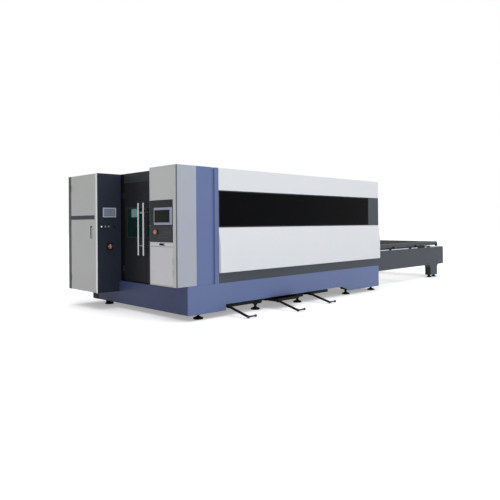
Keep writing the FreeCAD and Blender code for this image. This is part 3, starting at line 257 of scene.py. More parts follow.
# extruded rubber profile: dull, slightly dusty
rubber = dict(cloudMm=90, grainMm=2, rough=(0.6, 0.8), relief=0.3)
pane = dict(grainMm=40, rough=(0.05, 0.10), relief=0.02, gloss=0.12)
litScreen = dict(grainMm=30, rough=(0.1, 0.2), relief=0.01, gloss=0.2, glow=0.10)
looks = {
    "bluePowderCoat": dict(peel, tones=("#62719e", "#6878a5")),
    "whitePowderCoat": dict(peel, tones=("#e2e5ea", "#e7e9ee")),
    # the base's end: the side skirt's blue painted deeper, as painted shade
    "deepBluePowderCoat": dict(peel, gloss=0.15, tones=("#3b4467", "#424b6e")),
    "darkGreyPowderCoat": dict(darkPeel, tones=("#4a4f56", "#51575f")),
    "blackPowderCoat": dict(darkPeel, tones=("#1b1b20", "#232429")),
    "lightGreyPowderCoat": dict(peel, tones=("#b5b7b6", "#bdbebe")),
    "cabinetPowderCoat": dict(peel, tones=("#acaeac", "#b3b5b4")),
    "consolePowderCoat": dict(peel, tones=("#c2c2c6", "#c9c9ce")),
    "greyBluePowderCoat": dict(peel, tones=("#a5acb9", "#b0b6c2")),
    "navyPowderCoat": dict(darkPeel, tones=("#2c313d", "#373c49")),
    "stilePowderCoat": dict(darkPeel, tones=("#4b4c4c", "#565757")),
    # near black of the door posts and sill: painted shade
    "jambPowderCoat": dict(darkPeel, tones=("#0c0d10", "#131418")),
    "headerPowderCoat": dict(darkPeel, tones=("#292b2f", "#323438")),
    "bandPowderCoat": dict(darkPeel, tones=("#31313b", "#3a3a44")),
    # cast acrylic, tinted nearly black: deep, smooth and glossy, with faint wiping marks
    "tintedAcrylic": dict(
        tones=("#050508", "#08090b"), cloudMm=1400, grainMm=60, rough=(0.05, 0.12),
        relief=0.02, gloss=0.035),
    # laser safety pane: green acrylic over a dark room
    "greenAcrylic": dict(pane, tones=("#0d1f1e", "#122f2b"), cloudMm=260),
    # painted light: the same pane, painted pale
    "litAcrylic": dict(pane, tones=("#5d7f7b", "#86a9a3"), cloudMm=60),
    # stainless tube, brushed along its length: long fine streaks and a soft sheen
    "brushedStainless": dict(
        tones=("#999c9f", "#bfc1c3"), cloudMm=30, grainMm=2.4, rough=(0.24, 0.42),
        relief=0.12, metallic=1.0, stretch=(1, 1, 0.04)),
    # the left handle's stainless posts, painted pale with little metal so that they look bright from every
    # side: painted highlight
    "satinChrome": dict(
        tones=("#c6c9ca", "#dcdedf"), cloudMm=40, grainMm=3, rough=(0.3, 0.42),
        relief=0.06, metallic=0.25),
    # nickel-plated lock barrel, handled: grey, with a soft shine
    "wornNickel": dict(
        tones=("#8f9396", "#a7abae"), cloudMm=20, grainMm=2, rough=(0.3, 0.42),
        relief=0.08, metallic=0.35),
    # surface-ground rail steel: bright, with fine cross marks
    "groundSteel": dict(
        tones=("#b9bbbd", "#dcdddd"), cloudMm=60, grainMm=4, rough=(0.28, 0.42),
        relief=0.10, metallic=0.75, stretch=(1, 0.1, 1)),
    # laser-cut mild steel slats with heat marks and spatter
    "cutSteel": dict(
        tones=("#3b3834", "#6e6f70"), cloudMm=70, grainMm=6, rough=(0.45, 0.75),
        relief=0.5, metallic=0.7),
    # blackened steel: oiled oxide, almost matt
    "blackOxide": dict(
        tones=("#0d0d0f", "#171719"), cloudMm=50, grainMm=3, rough=(0.42, 0.62),
        relief=0.25, gloss=0.12),
    # bed castings and welds under thick machine enamel: dark, smooth and slightly wavy
    "machineEnamel": dict(
        tones=("#262a31", "#343a43"), cloudMm=300, grainMm=10, rough=(0.4, 0.6), relief=0.3),
    "lavenderAbs": dict(mould, tones=("#8b8da6", "#9698b0")),
    "silverAbs": dict(mould, tones=("#bcc3d2", "#ccd2d8")),
    "graphiteAbs": dict(mould, gloss=0.12, tones=("#1e2023", "#26292c")),
    "charcoalAbs": dict(mould, gloss=0.12, tones=("#2c2d31", "#35363a")),
    "blackAbs": dict(dimMould, tones=("#17181a", "#202123")),
    "keyAbs": dict(dimMould, tones=("#3c4143", "#484d50")),
    # glass-filled nylon of the red operating parts, with a worn paler grip
    "redNylon": dict(wornMould, tones=("#a85a49", "#b86c5c")),
    "oxbloodNylon": dict(wornMould, tones=("#55302a", "#663c34")),
    "paleRedNylon": dict(wornMould, tones=("#b98a82", "#cda298")),
    # white nylon inlay of the turning arrows, slightly yellowed
    "whiteNylon": dict(wornMould, tones=("#d2ccc4", "#e2ddd6")),
    # moulded grey vinyl, matt from use
    "gripVinyl": dict(dimMould, tones=("#4a4d4f", "#5f6365")),
    "gasketRubber": dict(rubber, tones=("#0d0d0e", "#18181a")),
    "greyRubber": dict(rubber, tones=("#55595d", "#63676b")),
    # screens: a dark glass front, and a lit pale blue panel behind its glass
    "screenGlass": dict(
        tones=("#0c0f0f", "#191c17"), cloudMm=90, grainMm=30, rough=(0.08, 0.16),
        relief=0.01, gloss=0.06),
    "litPage": dict(litScreen, tones=("#656b89", "#8a90a8"), cloudMm=70, glowColour="#8489a6"),
    "litColumn": dict(litScreen, tones=("#6b777f", "#849299"), cloudMm=40, glowColour="#83929a"),
    # pressed polycarbonate lens over a lit lamp: pale green, bright in itself
    "lampLens": dict(
        tones=("#cfe2dc", "#e2efe9"), cloudMm=20, grainMm=3, rough=(0.15, 0.25),
        relief=0.1, glow=0.3, glowColour="#d5f2e6"),
    # cast aluminium, bead blasted: pale, even and fine-grained
    "blastedAluminium": dict(
        tones=("#a7a9ab", "#bdbfc1"), cloudMm=120, grainMm=2, rough=(0.45, 0.6),
        relief=0.25, metallic=0.9),
}
material = {name: finish(name, look) for name, look in looks.items()}
finishOfSlot = dict(
    machined_steel="groundSteel", cast_bed_paint="machineEnamel", cast_aluminium="blastedAluminium")


def finishFor(slotName):
    # the other slots are named as their finish is, as black_oxide for blackOxide
    first, *others = slotName.split("_")
    return finishOfSlot.get(slotName) or first + "".join(word.capitalize() for word in others)


print("materials ready:", len(material))


# --- small modelling helpers: each shape is a bmesh of its own until makePiece joins them ---

def roundEdges(bm, edges, width, segments=2):
    bmesh.ops.bevel(bm, geom=list(edges), offset=width, offset_type="OFFSET", segments=segments, profile=0.5,
                    affect="EDGES", clamp_overlap=True, material=-1)


def block(low, high, edge=0.0, segments=2, form=None):
    low, high = Vector(low), Vector(high)
    part = bmesh.new()
    bmesh.ops.create_cube(part, size=1.0)
    bmesh.ops.scale(part, vec=high - low, verts=part.verts)
    bmesh.ops.translate(part, vec=(low + high) / 2, verts=part.verts)
    if form:
        form(part)
    if edge:
        roundEdges(part, part.edges, edge, segments)
    return part


def ring(low, high, axis, border, edge=0.002):
    # a rectangular frame across the axis: a block whose two ends are inset and bridged through
    part = block(low, high)
    ends = [f for f in part.faces if abs(f.normal[axis]) > 0.9]
    bmesh.ops.inset_individual(part, faces=ends, thickness=border, use_even_offset=True)
    rims = list({e for f in ends for e in f.edges})
    bmesh.ops.delete(part, geom=ends, context="FACES_ONLY")
    bmesh.ops.bridge_loops(part, edges=rims)
    bmesh.ops.recalc_face_normals(part, faces=part.faces)
    roundEdges(part, [e for e in part.edges if e.calc_face_angle(0) > 0.5], edge)
    return part


def turned(profile, place, direction, steps=32, bore=0.0, isClosed=True):
    # pairs of distance along the axis and radius, spun once round it: a solid, or a tube where there is a bore
    if isClosed:
        profile = [(profile[0][0], bore), *profile, (profile[-1][0], bore)]
    if bore:
        profile.append(profile[0])
    outline = [pair for pair, before in zip(profile, [None, *profile]) if pair != before]
    part = bmesh.new()
    verts = [part.verts.new((radius, 0, along)) for along, radius in outline]
    edges = [part.edges.new(pair) for pair in zip(verts, verts[1:])]
    bmesh.ops.spin(part, geom=verts + edges, cent=(0, 0, 0), axis=(0, 0, 1), angle=2 * math.pi, steps=steps,
                   use_merge=True)
    bmesh.ops.remove_doubles(part, verts=part.verts, dist=1e-6)
    turn = Vector(direction).to_track_quat("Z", "Y").to_matrix()
    bmesh.ops.rotate(part, cent=(0, 0, 0), matrix=turn, verts=part.verts)
    bmesh.ops.translate(part, vec=place, verts=part.verts)
    return part


def rounded(length, radius, edge):
    # the profile of a round bar with its two ends eased
    return [(0, radius - edge), (edge, radius), (length - edge, radius), (length, radius - edge)]


def rod(start, end, radius, steps=24, edge=0.0015):
    span = Vector(end) - Vector(start)
    return turned(rounded(span.length, radius, edge), start, span, steps)


def alongX(part):
    return [e for e in part.edges if abs((e.verts[0].co - e.verts[1].co).normalized().x) > 0.9]


def shadeEdges(bm, sharpDeg=21, broadSharpDeg=10, broadArea=0.01):
    # soft over small bends; beside a broad face also the corner patches count as sharp, so that it stays flat
    broad = {face for face in bm.faces if face.calc_area() > broadArea}
    for face in bm.faces:
        face.smooth = True
    for edge in bm.edges:
        limit = sharpDeg if broad.isdisjoint(edge.link_faces) else broadSharpDeg
        edge.smooth = edge.calc_face_angle(0) <= math.radians(limit)


dressed = set()


def makePiece(name, body, finishName, shapes, stands=()):
    bm = bmesh.new()
    for shape in shapes:
        part = bpy.data.meshes.new("part")
        shape.to_mesh(part)
        shape.free()
        bm.from_mesh(part)
        bpy.data.meshes.remove(part)
    bmesh.ops.recalc_face_normals(bm, faces=bm.faces)
    shadeEdges(bm)
    mesh = bpy.data.meshes.new(name)
    bm.to_mesh(mesh)
    bm.free()
    mesh.materials.append(material[finishName])
    piece = addObject(name, mesh)
    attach(piece, body)
    if stands:
        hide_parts(*stands)
        dressed.update(stands)


def mergedCopy(node):
    bm = bmesh.new()
    bm.from_mesh(frame["nodes"][node].data)
    bmesh.ops.remove_doubles(bm, verts=bm.verts, dist=1e-5)
    return bm


def solidsOf(node):
    # the corner points of each separate solid in a node
    bm = mergedCopy(node)
    solids = []
    left = set(bm.verts)
    while left:
        reach, points = [left.pop()], []
        while reach:
            vert = reach.pop()
            points.append(vert.co.copy())
            near = {edge.other_vert(vert) for edge in vert.link_edges} & left
            left -= near
            reach += near
        solids.append(points)
    bm.free()
    return solids


def spanOf(points):
    return [Vector(pick(v[i] for v in points) for i in range(3)) for pick in (min, max)]


def middleOf(node):
    low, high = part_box(node)
    return (low + high) / 2


# --- operator console ---

consoleTrim = dict(
    lap=0.001, edge=0.003, sealInset=0.002,
    plateJoint=0.010, plateGap=0.0015, plateProud=0.005, plateOver=0.014,
    housingBack=0.004, frameRound=0.012,
    rimOut=0.006, rimWide=0.007, rimX=(-0.002, 0.004), paneX=(-0.001, 0.003),
)


def buildConsole(
        lap, edge, sealInset, plateJoint, plateGap, plateProud, plateOver, housingBack, frameRound, rimOut,
        rimWide, rimX, paneX):
    coverLow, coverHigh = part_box("console_side_cover")
    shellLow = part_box("console_shell")[0]
    makePiece("cornerSeal", "machine", "greyRubber", [
        block((shellLow.x + sealInset, coverLow.y + sealInset, coverLow.z + sealInset),
              (coverLow.x + lap, shellLow.y + lap, coverHigh.z - sealInset), 0.002)])

    # two dark plates, above and below the joint under the monitor, run over the frame's narrow stile
    low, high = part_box("control_panel")
    bezelLow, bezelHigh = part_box("monitor_bezel")
    joint = bezelLow.z - plateJoint
    for name, look, bottom, top, stands in (
            ("screenPlate", "graphiteAbs", joint + plateGap, high.z - lap, ["control_panel"]),
            ("keyPlate", "charcoalAbs", low.z + lap, joint - plateGap, ())):
        makePiece(name, "machine", look, [
            block((low.x - plateProud, low.y + lap, bottom), (high.x, high.y + plateOver, top), edge)], stands)

    housing = block(bezelLow, (low.x - housingBack, bezelHigh.y, bezelHigh.z))
    roundEdges(housing, alongX(housing), frameRound, 5)
    front = min(housing.faces, key=lambda face: face.calc_center_median().x)
    roundEdges(housing, front.edges, edge, 3)
    makePiece("screenHousing", "machine", "lavenderAbs", [housing], ["monitor_bezel"])
    screenLow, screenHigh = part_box("monitor_screen")
    back, proud = (bezelLow.x + x for x in rimX)
    makePiece("screenRim", "machine", "blackAbs", [
        ring((back, screenLow.y - rimOut, screenLow.z - rimOut),
             (proud, screenHigh.y + rimOut, screenHigh.z + rimOut), 0, rimWide, 0.001)])
    back, proud = (bezelLow.x + x for x in paneX)
    makePiece("screenPane", "machine", "screenGlass", [
        block((back, screenLow.y, screenLow.z), (proud, screenHigh.y, screenHigh.z), 0.0005)],
        ["monitor_screen"])


keyField = dict(
    columns=9, rows=3, pitch=0.034, key=0.024, rise=0.004, right=0.030, bottom=0.060,
    base=0.004, sink=0.001, margin=0.012, rimWide=0.006, edge=0.0015,
)


def buildKeyField(columns, rows, pitch, key, rise, right, bottom, base, sink, margin, rimWide, edge):
    # membrane keys on the lower half of the control plate, beside the emergency stop
    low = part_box("control_panel")[0]
    face = low.x - base
    right, bottom = low.y + right, low.z + bottom
    left, top = right + columns * pitch, bottom + rows * pitch
    makePiece("keyFieldRim", "machine", "keyAbs", [
        ring((face - rise, right - margin, bottom - margin), (face, left + margin, top + margin),
             0, rimWide, 0.001)])
    inset = (pitch - key) / 2
    keys = []
    for row in range(rows):
        for column in range(columns):
            y, z = right + column * pitch + inset, bottom + row * pitch + inset
            keys.append(block((face - sink - rise, y, z), (face, y + key, z + key), edge))
    makePiece("panelKeys", "machine", "keyAbs", keys)


stopButton = dict(
    steps=40,
    # from the head's tip: distance in metres and share of the head's radius
    head=[(0, 0), (0.0006, 0.35), (0.003, 0.7), (0.008, 0.94), (0.014, 1), (0.019, 1), (0.024, 0.9)],
    stem=0.012, pressRoom=0.002,
    collar=[(0, 0.022), (0.006, 0.031), (0.0125, 0.031)], collarBore=0.0128, collarOut=0.0175,
    arrowIn=0.0125, arrowOut=0.0185, arrowRise=0.0006, arrowSink=0.003, arrowDeg=62,
    arrowSteps=10, headSize=0.0075, headDeep=0.0036,
)


def buildStop(
        steps, head, stem, pressRoom, collar, collarBore, collarOut, arrowIn, arrowOut, arrowRise,
        arrowSink, arrowDeg, arrowSteps, headSize, headDeep):
    low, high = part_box("emergency_stop")
    centre = Vector((low.x, (low.y + high.y) / 2, (low.z + high.z) / 2))
    radius = (high.z - low.z) / 2
    head = [(along, share * radius) for along, share in head]
    stemEnd = high.x - low.x - pressRoom  # stays clear of the plate when the button is pressed
    makePiece("stopMushroom", "stop_button", "redNylon", [
        turned([*head, (head[-1][0], stem), (stemEnd, stem)], centre, (1, 0, 0), steps)],
        ["emergency_stop"])
    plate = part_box("control_panel")[0].x
    makePiece("stopCollarRing", "machine", "blackAbs", [
        turned(collar, (plate - collarOut, centre.y, centre.z), (1, 0, 0), steps, collarBore)])
    # three inlaid arrows show which way the head turns to come free
    arrows = []
    for index in range(3):
        arrow = bmesh.new()
        rim = [arrow.verts.new((along, 0, reach)) for along, reach in
               ((-arrowRise, arrowIn), (-arrowRise, arrowOut), (arrowSink, arrowOut), (arrowSink, arrowIn))]
        section = arrow.faces.new(rim)
        bmesh.ops.spin(arrow, geom=[section, *section.edges, *rim], cent=(0, 0, 0), axis=(1, 0, 0),
                       angle=math.radians(arrowDeg), steps=arrowSteps)
        bmesh.ops.holes_fill(arrow, edges=[e for e in arrow.edges if e.is_boundary])
        bmesh.ops.recalc_face_normals(arrow, faces=arrow.faces)
        tip = bmesh.ops.create_cone(arrow, cap_ends=True, segments=3, radius1=headSize,
                                    radius2=headSize, depth=headDeep)["verts"]
        bmesh.ops.rotate(arrow, cent=(0, 0, 0), matrix=Matrix.Rotation(math.pi / 2, 3, "Y"), verts=tip)
        bmesh.ops.translate(arrow, vec=((arrowSink - arrowRise) / 2, 0, (arrowIn + arrowOut) / 2), verts=tip)
        bmesh.ops.rotate(arrow, cent=(0, 0, 0), matrix=Matrix.Rotation(index * 2 * math.pi / 3, 3, "X"),
                         verts=arrow.verts)
        bmesh.ops.translate(arrow, vec=centre, verts=arrow.verts)
        arrows.append(arrow)
    makePiece("stopArrows", "stop_button", "whiteNylon", arrows)


keyboardKeys = dict(
    rows=5, columns=16, border=0.008, gap=0.0035, rise=0.004, sink=0.0005,
    cupShift=0.020, cupX=(-0.0015, 0.012), cupHalf=(0.066, 0.0165), cupBorder=0.0055,
)


def buildKeyboard(rows, columns, border, gap, rise, sink, cupShift, cupX, cupHalf, cupBorder):
    low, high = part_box("keyboard")
    deck = high.z - rise
    stepX = (high.x - low.x - 2 * border) / rows
    stepY = (high.y - low.y - 2 * border) / columns
    shapes = [block(low, (high.x, high.y, deck), 0.002)]
    for row in range(rows):
        for column in range(columns):
            x, y = low.x + border + row * stepX, low.y + border + column * stepY
            shapes.append(block((x, y, deck - sink), (x + stepX - gap, y + stepY - gap, high.z), 0.001, 1))
    makePiece("keyboardKeys", "keyboard_tray", "keyAbs", shapes, ["keyboard"])
    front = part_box("keyboard_drawer")[0].x
    centre = middleOf("keyboard_drawer")
    middle = centre.y - cupShift
    near, far = (front + x for x in cupX)
    halfY, halfZ = cupHalf
    makePiece("fingerCup", "keyboard_tray", "gasketRubber", [
        ring((near, middle - halfY, centre.z - halfZ), (far, middle + halfY, centre.z + halfZ),
             0, cupBorder)])


buildConsole(**consoleTrim)
buildKeyField(**keyField)
buildStop(**stopButton)
buildKeyboard(**keyboardKeys)
print("console ready")


# --- laser cabinet ---

cabinetTrim = dict(
    bandRise=1.210, bandHeight=0.068, bandInset=0.030, bandThick=0.003, clear=0.0005,
    foldWide=0.004, foldProud=(0.0012, 0.0009), foldDeep=(0.002, 0.003),
    stileProud=0.0008, stileDeep=0.010, stileGap=0.002, stileOver=0.0004, lap=0.001,
)


def buildCabinetTrim(
        bandRise, bandHeight, bandInset, bandThick, clear, foldWide, foldProud, foldDeep, stileProud,
        stileDeep, stileGap, stileOver, lap):
    low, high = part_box("laser_cabinet_door")
    shellLow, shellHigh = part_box("laser_cabinet_shell")
    bottom = shellLow.z + bandRise
    makePiece("doorBand", "source_door", "bandPowderCoat", [
        block((low.x + lap, low.y + bandInset + clear, bottom + clear),
              (low.x + lap + bandThick, high.y - clear, bottom + bandHeight - clear), 0.0008)])
    # grey post that carries the door's hinges
    stile = block((shellLow.x - stileProud, high.y + stileGap, shellLow.z + lap),
                  (shellLow.x + stileDeep, shellHigh.y + stileOver, shellHigh.z - lap), 0.003)
    # the side sheet's folded edge, seen beside the bright corner strip
    low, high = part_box("corner_trim")
    outX, outY = foldProud
    deepX, deepY = foldDeep
    corner = (low.x - outX, low.y - outY, low.z)
    makePiece("cornerFold", "machine", "navyPowderCoat", [
        block(corner, (low.x + deepX, low.y + foldWide, high.z), 0.0008),
        block(corner, (high.x + lap, low.y + deepY, high.z), 0.0008)])
    makePiece("hingeStile", "machine", "stilePowderCoat", [stile])


lockSizes = dict(
    border=0.004, dishRise=0.002, dishWide=0.003, waist=0.55, slim=0.18, leverThick=0.008,
    bossRadius=0.013, bossInset=0.004, clear=0.0003,
    cap=[(0, 0.006), (0.002, 0.0075)], capProud=0.0015,
)


def buildLock(
        border, dishRise, dishWide, waist, slim, leverThick, bossRadius, bossInset, clear, cap,
        capProud):
    low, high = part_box("swing_lock")
    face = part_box("laser_cabinet_door")[0].x
    y, wide = (low.y + high.y) / 2, high.y - low.y
    makePiece("lockDish", "source_door", "cabinetPowderCoat", [
        ring((face - dishRise, low.y - border, low.z - border),
             (face + 0.001, high.y + border, high.z + border), 0, dishWide, 0.001)])

    def narrowTip(part):
        tip = [v for v in part.verts if v.co.z < low.z + 0.001]
        bmesh.ops.scale(part, vec=(1, waist, 1), space=Matrix.Translation((0, -y, 0)), verts=tip)

    slim, boss = slim * wide, high.z - wide / 2
    makePiece("lockLever", "lock_handle", "blackAbs", [
        block((low.x, low.y + slim, low.z), (low.x + leverThick, high.y - slim, high.z), 0.003, 2, narrowTip),
        rod((low.x + bossInset, y, boss), (high.x - clear, y, boss), bossRadius, 28, 0.001),
        turned(cap, (low.x - capProud, y, boss), (1, 0, 0), 20)], ["swing_lock"])


displaySizes = dict(
    border=0.017, lap=0.001, paneDepth=0.005, pageDepth=(0.0045, 0.006), pageShare=0.62,
    gap=0.002,
)


def buildDisplay(border, lap, paneDepth, pageDepth, pageShare, gap):
    low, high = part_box("cabinet_display")
    makePiece("displayFrame", "machine", "silverAbs", [ring(low, high, 1, border, 0.003)],
              ["cabinet_display"])
    inLow, inHigh = low + Vector((border, 0, border)), high - Vector((border, 0, border))
    makePiece("displayPane", "machine", "screenGlass", [
        block((inLow.x - lap, low.y + paneDepth, inLow.z - lap),
              (inHigh.x + lap, high.y, inHigh.z + lap), 0.0005)])
    # the lit picture: a wide page with a tool column beside it
    split = inLow.x + pageShare * (inHigh.x - inLow.x)
    near, far = (low.y + depth for depth in pageDepth)
    for name, left, right, look in (("displayPage", inLow.x + gap, split, "litPage"),
                                    ("displayColumn", split + gap, inHigh.x - gap, "litColumn")):
        makePiece(name, "machine", look, [
            block((left, near, inLow.z + gap), (right, far, inHigh.z - gap), 0.0002)])


switchSizes = dict(
    radius=0.014, outer=0.019, collar=0.010, steps=32, clear=0.0006, lampGap=0.064,
    lens=[(0, 1), (0.012, 1), (0.016, 0.8), (0.018, 0.4), (0.0184, 0)],  # along, share of the radius
    bladeHalf=0.3, wallGap=0.0003, rimWide=0.0035, rimX=(-0.0008, 0.001),
)


def buildSwitches(radius, outer, collar, steps, clear, lampGap, lens, bladeHalf, wallGap, rimWide, rimX):
    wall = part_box("laser_cabinet_shell")[0].y
    capLow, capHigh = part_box("start_button")
    z, capX = (capLow.z + capHigh.z) / 2, (capLow.x + capHigh.x) / 2
    keyX = {side: middleOf("key_switch_" + side).x for side in ("left", "right")}
    lampX = keyX["left"] - lampGap
    profile = [(0, outer), (collar * 0.6, outer), (collar, outer - 0.003)]
    makePiece("switchRings", "machine", "blackAbs", [
        turned(profile, (x, wall, z), (0, -1, 0), steps, radius + clear)
        for x in (lampX, *keyX.values(), capX)], ["switch_collars"])
    lens = [(along, share * radius) for along, share in lens]
    makePiece("signalLens", "machine", "lampLens", [
        turned(lens, (lampX, wall, z), (0, -1, 0), steps, isClosed=False)])
    half, bore = radius * bladeHalf, radius - rimWide
    near, far = rimX
    for side, x in keyX.items():
        node = "key_switch_" + side
        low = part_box(node)[0]
        face = (x, low.y + radius, z)
        barrel = wall - wallGap - low.y - radius
        makePiece(side + "Key", side + "_key", "wornNickel", [
            turned([(0, radius * 0.8), (0.002, radius), (barrel, radius)], face, (0, 1, 0), steps),
            block((x - half, low.y, z - radius), (x + half, low.y + radius + 0.001, z + radius), 0.002),
            turned([(near, radius - 0.001), (far, radius - 0.0005)], face, (0, 1, 0), steps, bore)], [node])
    depth = capHigh.y - capLow.y
    makePiece("startCap", "start_push", "blackAbs", [
        turned([(0, radius * 0.85), (0.0015, radius), (depth, radius)], (capX, capLow.y, z), (0, 1, 0), steps)],
        ["start_button"])


isolatorSizes = dict(
    plateHalf=0.055, plateThick=0.010, screwInset=0.010, screwProud=0.002,
    screw=[(0, 0), (0.0004, 0.003), (0.002, 0.0042), (0.003, 0.0045)],
    handle=(0.25, 0.92), handleEnd=0.004, arms=(0.86, 0.24), armDepth=(-0.003, 0.004),
)


def buildIsolator(plateHalf, plateThick, screwInset, screwProud, screw, handle, handleEnd, arms, armDepth):
    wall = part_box("laser_cabinet_shell")[0].y
    low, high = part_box("main_isolator")
    x, z = (low.x + high.x) / 2, (low.z + high.z) / 2
    half, corner = plateHalf, plateHalf - screwInset
    front = wall - plateThick
    shapes = [block((x - half, front, z - half), (x + half, wall, z + half), 0.003)]
    for dx in (-corner, corner):
        for dz in (-corner, corner):
            shapes.append(turned(screw, (x + dx, front - screwProud, z + dz), (0, 1, 0), 14))
    makePiece("isolatorPlate", "machine", "blackAbs", shapes)
    depth, radius = (high.y - low.y) / 2, (high.z - low.z) / 2
    face = low.y + depth
    makePiece("isolatorDial", "isolator_knob", "oxbloodNylon", [
        turned([(0, radius * 0.86), (0.004, radius), (depth, radius)], (x, face, z), (0, 1, 0), 40)],
        ["main_isolator"])
    wide, tall = (share * radius for share in handle)
    reach, thick = (share * radius for share in arms)
    near, far = (face + depth for depth in armDepth)
    makePiece("isolatorGrip", "isolator_knob", "paleRedNylon", [
        block((x - wide, low.y, z - tall), (x + wide, high.y - handleEnd, z + tall), 0.004, 3),
        block((x - reach, near, z - thick), (x + reach, far, z + thick), 0.002)])


buildCabinetTrim(**cabinetTrim)
buildLock(**lockSizes)
buildDisplay(**displaySizes)
buildSwitches(**switchSizes)
buildIsolator(**isolatorSizes)
print("laser cabinet ready")


# --- entry doors ---

doorTrim = dict(
    gasket=0.014, rise=0.004, lap=0.001,
    sheetOver={"left": 0, "right": 0.078}, sheetX=(-0.0015, 0.0005),
    jointHeight=1.772, jointWide=0.004, jointProud=0.0008,
    footInset=0.150, footRadius=0.012, posts={"left": "satinChrome", "right": "brushedStainless"},
    rosette=[(0, 0.014), (0.004, 0.022), (0.007, 0.022)],
)


def buildDoorTrim(
        side, gasket, rise, lap, sheetOver, sheetX, jointHeight, jointWide, jointProud, footInset,
        footRadius, posts, rosette):
    body = side + "_entry_door"
    doorLow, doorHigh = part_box(side + "_door")
    paneLow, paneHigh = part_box(side + "_door_window")
    half, over = gasket / 2, sheetOver[side]
    makePiece(side + "PaneGasket", body, "gasketRubber", [
        ring((x, paneLow.y - half, paneLow.z - half), (x + rise, paneHigh.y + reach + half, paneHigh.z + half),
             0, gasket, 0.0015) for x, reach in ((doorLow.x - rise, over), (doorHigh.x, 0))])
    if over:
        # the outer sheet covers the leaf's stile as well as the opening
        near, far = (doorLow.x + x for x in sheetX)
        makePiece(side + "PaneSheet", body, "greenAcrylic", [
            block((near, paneLow.y + lap, paneLow.z + lap),
                  (far, paneHigh.y + over, paneHigh.z - lap), 0.0004)])
    # joint between the leaf's upper sheet and its main sheet
    makePiece(side + "LeafJoint", body, "gasketRubber", [
        block((doorLow.x - jointProud, doorLow.y + lap, jointHeight),
              (doorLow.x + lap, doorHigh.y - lap, jointHeight + jointWide), 0.0003)])
    low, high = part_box(side + "_door_handle")
    radius = (high.y - low.y) / 2
    x, y = low.x + radius, (low.y + high.y) / 2
    makePiece(side + "PullHandle", body, "brushedStainless", [
        rod((x, y, low.z), (x, y, high.z), radius, 32, 0.003)], [side + "_door_handle"])
    feet = (low.z + footInset, high.z - footInset)
    # painted highlight: the left handle's posts take the pale painted finish, the right ones plain stainless
    makePiece(side + "HandlePosts", body, posts[side], [
        rod((x + radius * 0.8, y, z), (doorLow.x + 0.0005, y, z), footRadius) for z in feet])
    deep = rosette[-1][0]
    makePiece(side + "HandleRosettes", body, "blackOxide", [
        turned(rosette, (doorLow.x - deep, y, z), (1, 0, 0), 28) for z in feet])


frameTrim = dict(gap=0.002, lap=0.001, edge=0.003, dripX=(-0.004, 0.002), dripTall=0.014)


def buildDoorFrame(gap, lap, edge, dripX, dripTall):
    # folded posts and sill, painted near black as painted shade, with a wider header sheet between them
    low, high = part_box("door_frame")
    leafHigh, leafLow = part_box("left_door")[1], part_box("right_door")[0]
    left, right, top, bottom = leafHigh.y + gap, leafLow.y - gap, leafHigh.z + gap, leafLow.z - gap
    makePiece("doorPosts", "machine", "jambPowderCoat", [
        block((low.x, left, low.z), high, edge),
        block(low, (high.x, right, high.z), edge),
        block((low.x, right - lap, low.z), (high.x, left + lap, bottom), edge)], ["door_frame"])
    makePiece("doorHeader", "machine", "headerPowderCoat", [
        block((low.x - lap, right + lap, top), (high.x, left - lap, high.z), edge)])
    near, far = (low.x + x for x in dripX)
    makePiece("headerDripSeal", "machine", "gasketRubber", [
        block((near, right + gap, top), (far, left - gap, top + dripTall), 0.0015)])


paneLight = dict(low=(0.226, 1.523), high=(0.404, 1.659), thick=0.0006, corner=0.02)


def buildPaintedPaneLight(low, high, thick, corner):
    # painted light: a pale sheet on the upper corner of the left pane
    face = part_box("left_door_window")[0].x
    sheet = block((face - thick, *low), (face + 0.001, *high))
    roundEdges(sheet, alongX(sheet), corner, 4)
    makePiece("paneLight", "left_entry_door", "litAcrylic", [sheet])


hingeShape = dict(
    radius=0.0067, sheet=0.003, groove=0.0012, ends=0.001, steps=20,
    screw=[(0, 0), (0, 0.0022), (0.0012, 0.004)], screwInset=0.012, screwProud=0.001,
    screwShares=(0.2, 0.5, 0.8), knuckles=3,
)


def hingeLook(low, high):
    if low.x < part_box("laser_cabinet_shell")[0].x:
        return "stilePowderCoat"
    if high.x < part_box("console_door")[0].x + 0.001:
        return "lightGreyPowderCoat"
    return "headerPowderCoat"


def hingeShapes(low, high, knuckle, shape):
    radius, groove, sheet = shape["radius"], shape["groove"], shape["sheet"]
    length = high.z - low.z
    ends = rounded(length, radius, shape["ends"])
    grooves = []
    for index in range(1, shape["knuckles"]):
        place = index * length / shape["knuckles"]
        grooves += [(place - groove, radius), (place, radius - groove), (place + groove, radius)]
    toward = 1 if high.y - knuckle > knuckle - low.y else -1
    edgeY = high.y if toward > 0 else low.y
    face = high.x - sheet
    screwX, screwY = face - shape["screwProud"], edgeY - toward * shape["screwInset"]
    return [turned(ends[:2] + grooves + ends[2:], (low.x + radius, knuckle, low.z), (0, 0, 1), shape["steps"]),
            block((face, min(knuckle, edgeY), low.z), (high.x, max(knuckle, edgeY), high.z), 0.0008),
            *(turned(shape["screw"], (screwX, screwY, low.z + share * length), (1, 0, 0), 16)
              for share in shape["screwShares"])]


def buildHinges(shape):
    # knuckles in three lengths on a screwed leaf, in the colour of their frame
    groups = {"headerPowderCoat": [], "stilePowderCoat": [], "lightGreyPowderCoat": []}
    for points in solidsOf("door_hinges"):
        low, high = spanOf(points)
        front = [v.y for v in points if v.x < low.x + 0.001]
        groups[hingeLook(low, high)] += hingeShapes(low, high, sum(front) / len(front), shape)
    for look, shapes in groups.items():
        makePiece("hinges" + look[0].upper() + look[1:], "machine", look, shapes,
                  ["door_hinges"] if look == "headerPowderCoat" else ())


for side in ("left", "right"):
    buildDoorTrim(side, **doorTrim)
buildDoorFrame(**frameTrim)
buildPaintedPaneLight(**paneLight)
buildHinges(hingeShape)
print("doors ready")


# --- feet and tow bars ---

